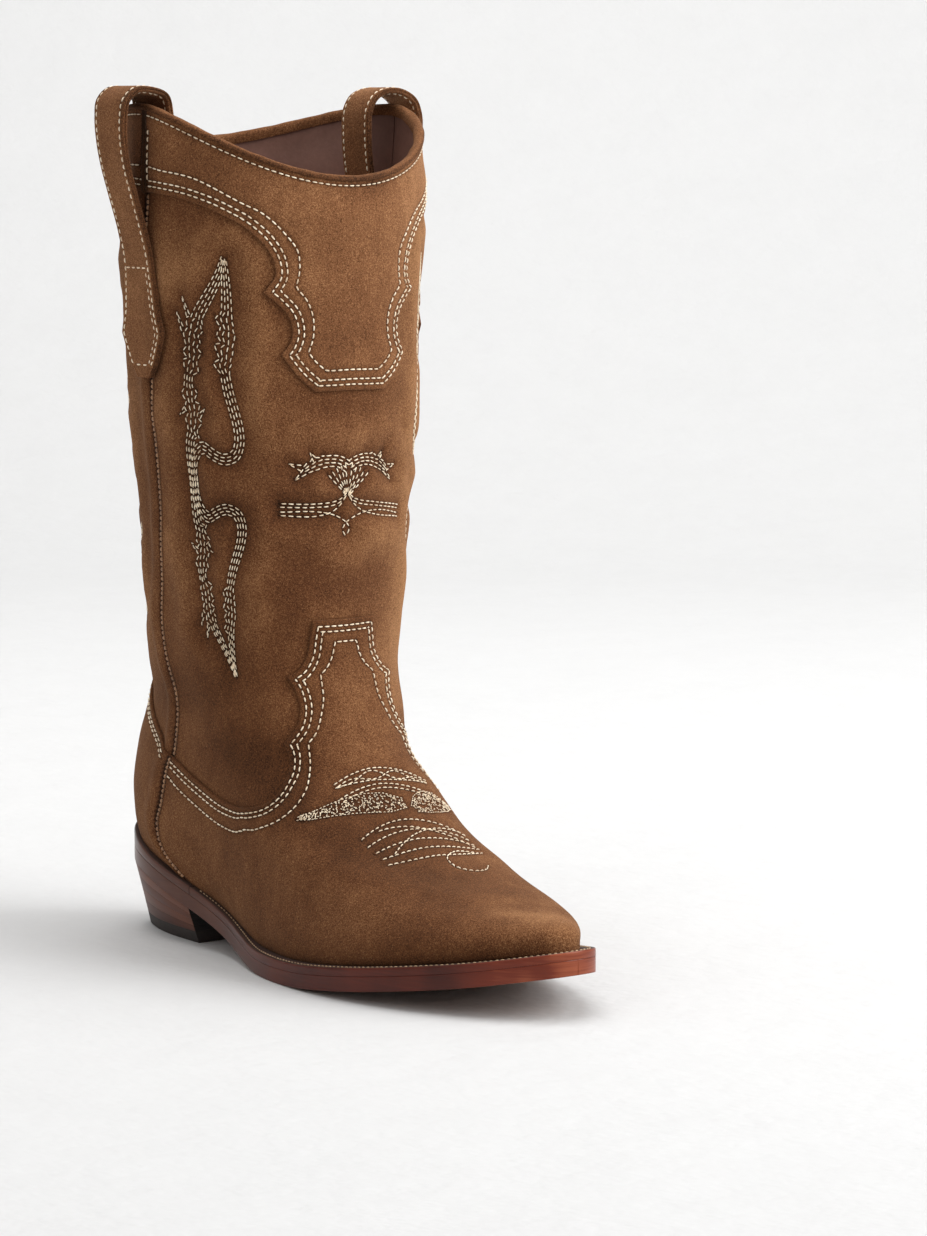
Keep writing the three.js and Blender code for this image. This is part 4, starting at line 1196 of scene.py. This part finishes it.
# path: (outwards, z) from the inside end over the top to the foot; out and lean: where the shaft's
# side is at the foot; flare and rear_flare: how much the front and the rear edge spread at the top
# of the loop; skew: mm that the inner leg sits behind the outer one.
STRAPS = {
    "lateral": {
        "side": -1, "out": 57.9, "lean": 0.048, "lift": 1.5, "flare": 0.38, "rear_flare": 0.532, "skew": 4.0,
        "path": [(-8.5, 298), (-9.4, 331), (-10, 346), (-7.4, 353.4), (0, 356), (8.5, 355.6), (13.2, 351.5),
                 (14.6, 345), (14.6, 336), (13.4, 327), (10.4, 315), (6.4, 300), (4.4, 290), (3.6, 280),
                 (3.4, 266), (3.4, 241)],
    },
    "medial": {
        "side": 1, "out": 64.2, "lean": 0.005, "lift": 0.5, "flare": 0.0, "rear_flare": 0.0, "skew": 0.0,
        "path": [(-8, 297), (-12.5, 310), (-17.2, 322), (-18.6, 332), (-19, 341), (-18.4, 349), (-15, 354.4),
                 (-8.5, 357), (-1, 356.4), (5, 352.8), (7.4, 347), (7.6, 338), (7.2, 325), (5.8, 306),
                 (4.3, 286), (3.6, 266), (3.6, 241)],
    },
}
STRAP_HALF = [(0, 9.5), (0.68, 9.5), (0.78, 10.2), (0.86, 12), (0.905, 14.5), (0.93, 12.5), (0.965, 9.5),
              (0.99, 6.0), (1, 4.6)]
STRAP_INSET, SECOND_INSET = 1.9, 3.7
SECOND_ROW_TOP_Z = 284
# one face of the strap from its middle to its edge: mm in from the edge, height over the middle
STRAP_FACE = [(2.7, 1.42), (STRAP_INSET + 0.35, 1.30), (STRAP_INSET, 1.08), (STRAP_INSET - 0.35, 1.28),
              (0.8, 1.30), (0.25, 1.12), (0.0, 0.75), (0.02, 0.35), (0.35, 0.05)]
STRAP_MIDDLE, STRAP_MIDDLE_HIGH, STRAP_MIDDLE_INSET = 5, 1.46, 2.9
# painted shade along the strap's edges
STRAP_EDGE_PAINTED_SHADE = -0.8
STRAP_CROSS_ROWS = ((285, 7.6), (246, 4.5))         # z, half width


def strap(word):
    """A band over the topline, sewn down inside and outside, with a wider end tab."""
    this = STRAPS[word]
    path = np.array(this["path"], float)
    along = distances(path)
    centre = smooth_table(np.column_stack([along, path]), np.linspace(0, along[-1], STRAP_STATIONS))
    rise = to_left(centre)
    share = np.linspace(0, 1, STRAP_STATIONS)
    half = np.interp(share, *np.array(STRAP_HALF).T)
    wave = 0.35 * np.sin(share * 31) + 0.25 * np.sin(share * 17 + 1)
    slack = np.interp(centre[:, 1], [270, 300], [0, 1])

    def at(level, high, y):
        out, z = (centre[level] + rise[level] * np.expand_dims(high, -1)).T
        inner = bell(share[level], 0.23, 0.12)
        front_edge = y * (1 + this["flare"] * bell(share[level], 0.34, 0.16))
        rear_edge = y * (1 + this["rear_flare"] * inner)
        y = np.where(y < 0, front_edge, rear_edge) + this["skew"] * inner
        shaft = this["out"] + (centre[level, 1] - STRAP_FOOT_Z) * this["lean"]
        return np.stack([this["side"] * (shaft + out), y - STRAP_F, z + this["lift"] * slack[level]], -1)

    every = np.arange(STRAP_STATIONS)
    loops = []
    for face in (1, -1):
        for mm, high in STRAP_FACE[::-1]:
            loops.append(at(every, face * (high + 0.12 * wave * slack), -face * np.maximum(half - mm, 0.2)))
        for k in range(1, STRAP_MIDDLE):
            y = (2 * k / STRAP_MIDDLE - 1) * face * np.maximum(half - STRAP_MIDDLE_INSET, 0.15)
            loops.append(at(every, face * (STRAP_MIDDLE_HIGH + 0.5 * wave * slack), y))
        for mm, high in STRAP_FACE:
            loops.append(at(every, face * (high + 0.12 * wave * slack), face * np.maximum(half - mm, 0.2)))
    sections = np.stack(loops, 1)
    # painted shade: the strap is darkened along its edges
    at_edge = np.abs(sections[:, :, 1] + STRAP_F) > (half - 0.5)[:, None]
    tones = np.where(at_edge, STRAP_EDGE_PAINTED_SHADE, 0)
    name = f"strap_{word}"
    piece = loft(name, sections, [MATERIALS["suede_light"]], False, tones, 50)
    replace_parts(piece, f"pull_strap_{word}")

    def sew(level, y, face, high):
        points = at(level, face * high, y)
        stitch_along(name, points, at(level, face * (high + 1), y) - points)

    for face in (1, -1):
        for y_sign in (1, -1):
            rows = [(every[4:-7], STRAP_INSET)]
            if face * y_sign == this["side"]:
                on_tab = (centre[:, 1] < SECOND_ROW_TOP_Z) & (every > STRAP_STATIONS / 2)
                rows.append((every[on_tab][:-7], SECOND_INSET))
            for level, mm in rows:
                sew(level, y_sign * np.maximum(half[level] - mm, 0.3), face, 1.22)
    outer = every[centre[:, 0] > -2]
    for row_z, reach in STRAP_CROSS_ROWS:
        level = outer[np.argmin(np.abs(centre[outer, 1] - row_z))]
        sew(np.full(16, level), np.linspace(-reach, reach, 16), 1, 1.55)


strap("lateral")
strap("medial")


# ------------------------------------------------------------------ the sole
WAIST_FRONT_F, FOREPART_F = 95, 155
TOE_F, TOE_REACH, BACK_REACH = 245, 30, 20


def reveal(F):
    """How far the sole stands out beyond the upper's reference face."""
    side = REVEAL["heel"] + (REVEAL["forepart"] - REVEAL["heel"]) * ramp(F, WAIST_FRONT_F, FOREPART_F)
    ends = np.clip((F - TOE_F) / TOE_REACH, 0, 1) + np.clip(1 - F / BACK_REACH, 0, 1)
    return side + REVEAL["ends"] * ends + OVERLAY_TOP


def plan(u, edge_inset, below):
    """A point on the sole's outline, moved in by mm and lowered by mm from the sole's top line."""
    u = np.asarray(u, float)
    p = upper(0.0, u)
    q = p + outward(0.0, u) * (reveal(-p[..., 1]) - edge_inset)[..., None]
    return np.stack([q[..., 0], q[..., 1], sole_top(-q[..., 1]) - below], -1)


def rounded(top, bottom, soft):
    """(inset, below) down one side of a rounded edge between two depths."""
    turn = [(1, 0), (0.35, 0.15), (0.08, 0.55), (0, 1.2)]
    upper_turn = [(soft * i, top + soft * d) for i, d in turn]
    lower_turn = [(soft * i, bottom - soft * d) for i, d in turn[::-1]]
    return upper_turn + [(0, (top + bottom) / 2)] + lower_turn


def slab(name, us, profile, materials, middle, pick=None):
    """A sheet across the sole: an edge profile on both sides with straight rows between them."""
    left, right = [[plan(sign * us, i, d) for i, d in profile] for sign in (1, -1)]
    shares = np.linspace(0, 1, middle + 2)[1:-1]
    over = [left[0] + (right[0] - left[0]) * s for s in shares]
    under = [right[-1] + (left[-1] - right[-1]) * s for s in shares]
    for row, depth in [(row, profile[0][1]) for row in over] + [(row, profile[-1][1]) for row in under]:
        row[:, 2] = sole_top(-row[:, 1]) - depth
    sections = np.stack(over[::-1] + left + under[::-1] + right[::-1], 1)
    return loft(name, sections, materials, sharp=50, pick=pick)


toe_to_heel = np.concatenate([
    np.linspace(0.0006, 0.06, 56), np.linspace(0.064, 0.43, 110), np.linspace(0.434, 0.4994, 44),
])
SOLE_GAP = 0.02
SOLE_EDGE_ROUND = 0.35
SOCK_PROFILE = [(8.9, -3.9), (8.6, -3.7), (8.5, -3.2), (8.7, -2.9)]


def seat(F):
    """The underside of the sole, where the heel starts."""
    return sole_top(F) - SOLE_THICKNESS


def under_face(middle):
    """1 for faces on the sole's underside."""
    return int(middle[2] < seat(-middle[1]) + 0.12)


outsole = slab("sole", toe_to_heel, rounded(WELT_THICKNESS + SOLE_GAP, SOLE_THICKNESS, SOLE_EDGE_ROUND),
               [MATERIALS["sole"], MATERIALS["sole_under"]], 10, under_face)
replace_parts(outsole, "outsole")
sock = slab("sock", toe_to_heel, SOCK_PROFILE, [MATERIALS["lining"]], 12)
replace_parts(sock, "sock_liner")


def breast_u():
    """The place round the girth where the sole's outline passes the front of the heel."""
    low, high = 0.0, 0.5
    for _ in range(40):
        middle = (low + high) / 2
        if -plan(middle, 0, 0)[1] > HEEL_BREAST_F:
            low = middle
        else:
            high = middle
    return (low + high) / 2


BREAST_U = breast_u()
STRIP_TOP = [(WELT_WIDTH, 0.0), (2.6, 0.0), (2.2, 0.12), (1.8, 0.0), (0.9, 0.0)]        # with its groove
STRIP_PROFILE = STRIP_TOP + [
    (0.35, 0.06), (0.08, 0.3), (0, 0.8), (0, 2.0), (0, WELT_THICKNESS - 0.15), (0.1, WELT_THICKNESS),
    (WELT_WIDTH, WELT_THICKNESS),
]
STRIP_END_GAP = 0.0004
RAND_LIP, LIP_DEPTH, LIP_WIDTH, LIP_BAND = 4.0, 2.5, 2.7, (6, 44)
RAND_TONE, RAND_TONE_BAND = -1.6, (4, 30)


def strip(name, node, us, lip=0.0):
    """Welt or rand: a band round the sole's edge on top of the outsole; its top is dull and dark.
    lip raises its outer edge round the back of the heel, where it is darker too."""
    loops = []
    for edge_inset, below in STRIP_PROFILE:
        p = plan(us, edge_inset, below)
        share = np.clip(1 - below / LIP_DEPTH, 0, 1) * (edge_inset < LIP_WIDTH)
        p[:, 2] += lip * share * (1 - ramp(-p[:, 1], *LIP_BAND))
        loops.append(p)
    sections = np.stack(loops, 1)
    tones = np.zeros(sections.shape[:2])
    if lip:
        tones[:, 4:8] = RAND_TONE * (1 - ramp(-sections[:, 4:8, 1], *RAND_TONE_BAND))
    piece = loft(name, sections, [MATERIALS["sole"], MATERIALS["sole_top"]], False, tones, 50)
    around_strip = [1] * len(STRIP_TOP) + [0] * (len(STRIP_PROFILE) - len(STRIP_TOP))
    piece.data.polygons.foreach_set("material_index", around_strip * (len(us) - 1) + [1, 1])
    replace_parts(piece, node)


front_us = toe_to_heel[toe_to_heel < BREAST_U - 0.0006]
strip("welt_strip", "welt", np.concatenate([-front_us[::-1], front_us]))
strip("rand_strip", "heel_rand", np.linspace(BREAST_U - STRIP_END_GAP, 1 - BREAST_U + STRIP_END_GAP, 260),
      RAND_LIP)
half_walk = np.linspace(0, BREAST_U - 0.006, 900)
points = plan(np.concatenate([-half_walk[:0:-1], half_walk]), 2.2, 0.0)
stitch_along("welt_strip", points, np.tile([0.0, 0.0, 1.0], (len(points), 1)), length=1.45, pitch=2.35,
             radius=0.24, colour="thread_tan")


# ------------------------------------------------------------------ the heel
heel_us = np.concatenate([
    np.linspace(BREAST_U, 0.44, 30), np.linspace(0.442, 0.558, 90), np.linspace(0.56, 1 - BREAST_U, 30),
])
LIFT_TONES = (0.10, -0.15, 0.12, -0.20)
LIFT_EDGE_ROUND, RUBBER_EDGE_ROUND = 0.10, 0.22


def joint_z(k, F):
    """Height of joint k of the heel: 0 is the seat, LIFT_COUNT the rubber's top, the next the ground."""
    if k > LIFT_COUNT:
        return 0 * F
    return seat(F) * (1 - k / LIFT_COUNT) + TOP_LIFT * k / LIFT_COUNT


def heel_ring(k, down, edge_inset):
    """The heel's outline down mm under joint k: round the back, then across the breast."""
    p = plan(heel_us, edge_inset, 0)
    F = np.minimum(HEEL_BREAST_F, -p[:, 1])
    z = joint_z(k, F) - down
    taper = 1 - z / seat(F)
    length = 1 - HEEL_BREAST_SLANT / HEEL_BREAST_F * taper
    front = HEEL_BREAST_F - HEEL_BREAST_SLANT * taper
    y = -front + (HEEL_BREAST_F - F) * length + edge_inset * (F > HEEL_BREAST_F - 1)
    narrow = HEEL_SIDE_TAPER + HEEL_REAR_TAPER * np.clip((HEEL_BREAST_F - F) / HEEL_REAR_REACH, 0, 1)
    side = np.stack([p[:, 0] * (1 - narrow * taper), y, z], -1)
    shares = np.linspace(0, 1, 14)[1:-1, None]
    breast = side[-1] + (side[0] - side[-1]) * shares
    return np.concatenate([side, breast])


def on_breast(middle):
    """1 for faces on the front of the heel."""
    taper = 1 - middle[2] / seat(HEEL_BREAST_F)
    return int(-middle[1] > HEEL_BREAST_F - HEEL_BREAST_SLANT * taper - 0.35 and middle[2] > 0.1)


def lift(name, node, k, materials, slot, tone, soft):
    """The layer of the heel between joint k and the next, with soft mm of rounding at its edges."""
    rings = [(k, 0, soft), (k, soft, soft * 0.2), (k, soft * 2, 0), (k + 1, -soft * 2, 0),
             (k + 1, -soft, soft * 0.2), (k + 1, 0, soft)]
    sections = np.stack([heel_ring(*ring) for ring in rings])
    tones = np.full(sections.shape[:2], tone)
    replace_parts(loft(name, sections, materials, False, tones, 50, on_breast), node)


for k, tone in enumerate(LIFT_TONES):
    lift(f"stack_{k + 1}", f"heel_lift_{k + 1}", k, [MATERIALS["heel"], MATERIALS["black_paint"]],
         "heel_leather", tone, LIFT_EDGE_ROUND)
lift("stack_rubber", "heel_top_lift", LIFT_COUNT, [MATERIALS["rubber"], MATERIALS["rubber"]],
     "heel_rubber", 0.0, RUBBER_EDGE_ROUND)

build_stitches()

HIDDEN = {
    "insole": "board", "bottom_filler": "cork", "shank": "steel", "toe_puff": "cloth",
    "heel_stiffener": "cloth",
    **{f"heel_nail_{k}": "steel" for k in range(1, 6)},
}
for node, colour in HIDDEN.items():
    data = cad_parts[node].data
    data.materials.clear()
    data.materials.append(MATERIALS[colour])


# ------------------------------------------------------------------ floor, light and camera
def direction(azimuth, elevation):
    """Unit vector from the subject towards a camera or light; azimuth 0 is in front of the toe."""
    a, e = math.radians(azimuth), math.radians(elevation)
    return np.array([math.sin(a) * math.cos(e), -math.cos(a) * math.cos(e), math.sin(e)])


CAMERA_AZIMUTH, CAMERA_ELEVATION, CAMERA_DISTANCE = -37.44, 6.59, 1.94948
AIM = to_part([135.1, -35.24, 124.24])[0]
LIT_PLACE = to_part([0, -130, 160])[0]
LENS, SENSOR_WIDTH, CLIP_END = 127.14, 36, 50
FLOOR_BACK, SWEEP_RADIUS, WALL_TOP, FLOOR_FRONT, FLOOR_HALF = 1.5, 1.2, 4.5, 12.0, 12.0
FLOOR_STEP = 0.25
# name, azimuth, elevation, distance, size, power
LAMPS = (("key", 38, 31, 2.4, 2.0, 54), ("fill", -80, 35, 2.6, 1.8, 6), ("top", -10, 84, 2.4, 2.2, 24))
WALL_LAMP_BACK, WALL_LAMP_Z, WALL_LAMP_ELEVATION, WALL_LAMP_SIZE, WALL_LAMP_POWER = 0.7, 2.4, 38, 2.4, 37


def backdrop():
    """A floor that sweeps up into a wall behind the boot."""
    back = -direction(CAMERA_AZIMUTH, 0)
    side = np.array([-back[1], back[0], 0])
    count = int((FLOOR_FRONT + FLOOR_BACK) / FLOOR_STEP) + 1
    line = [(-FLOOR_FRONT + k * FLOOR_STEP, 0.0) for k in range(count)]
    line += [(FLOOR_BACK + SWEEP_RADIUS * math.sin(a), SWEEP_RADIUS * (1 - math.cos(a)))
             for a in np.linspace(0.05, math.pi / 2, 32)]
    line += [(FLOOR_BACK + SWEEP_RADIUS, WALL_TOP)]
    spans = np.linspace(-FLOOR_HALF, FLOOR_HALF, 25)
    points = np.array([back * a + side * s + [0, 0, z] for a, z in line for s in spans])
    width = len(spans)
    faces = [[i * width + k, i * width + k + 1, (i + 1) * width + k + 1, (i + 1) * width + k]
             for i in range(len(line) - 1) for k in range(width - 1)]
    mesh = bpy.data.meshes.new("studio_floor")
    mesh.from_pydata(points.tolist(), [], faces)
    mesh.shade_smooth()
    mesh.materials.append(plain("studio_paper", (206, 206, 206), (209, 209, 209), 0.9, 0.05))
    floor = bpy.data.objects.new("studio_floor", mesh)
    bpy.context.scene.collection.objects.link(floor)
    floor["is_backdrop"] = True


def aimed(name, data, place, towards):
    """Puts a lamp or camera in the scene, looking against the direction towards."""
    thing = bpy.data.objects.new(name, data)
    thing.location = place
    thing.rotation_euler = Vector(towards).to_track_quat("Z", "Y").to_euler()
    bpy.context.scene.collection.objects.link(thing)
    return thing


def area_light(name, place, towards, size, power):
    light = bpy.data.lights.new(name, "AREA")
    light.shape = "DISK"
    light.size = size
    light.energy = power
    aimed(name, light, place, towards)


backdrop()
for name, azimuth, elevation, distance, size, power in LAMPS:
    towards = direction(azimuth, elevation)
    area_light(name, LIT_PLACE + towards * distance, towards, size, power)
area_light("wall", -direction(CAMERA_AZIMUTH, 0) * WALL_LAMP_BACK + [0, 0, WALL_LAMP_Z],
           direction(CAMERA_AZIMUTH, WALL_LAMP_ELEVATION), WALL_LAMP_SIZE, WALL_LAMP_POWER)
world = bpy.data.worlds.new("studio")
world.use_nodes = True
world.node_tree.nodes["Background"].inputs["Color"].default_value = (1.0, 0.99, 0.975, 1)
world.node_tree.nodes["Background"].inputs["Strength"].default_value = 0.50
bpy.context.scene.world = world
bpy.context.scene.view_settings.view_transform = "Standard"

camera_data = bpy.data.cameras.new("camera")
camera_data.lens = LENS
camera_data.sensor_width = SENSOR_WIDTH
camera_data.sensor_fit = "AUTO"
camera_data.clip_end = CLIP_END
towards = direction(CAMERA_AZIMUTH, CAMERA_ELEVATION)
bpy.context.scene.camera = aimed("camera", camera_data, AIM + towards * CAMERA_DISTANCE, towards)

as_lists = lambda box: json.loads(json.dumps(box, default=lambda value: [float(v) for v in value]))
{"cad": as_lists(cad_box), "visual": as_lists(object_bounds())}
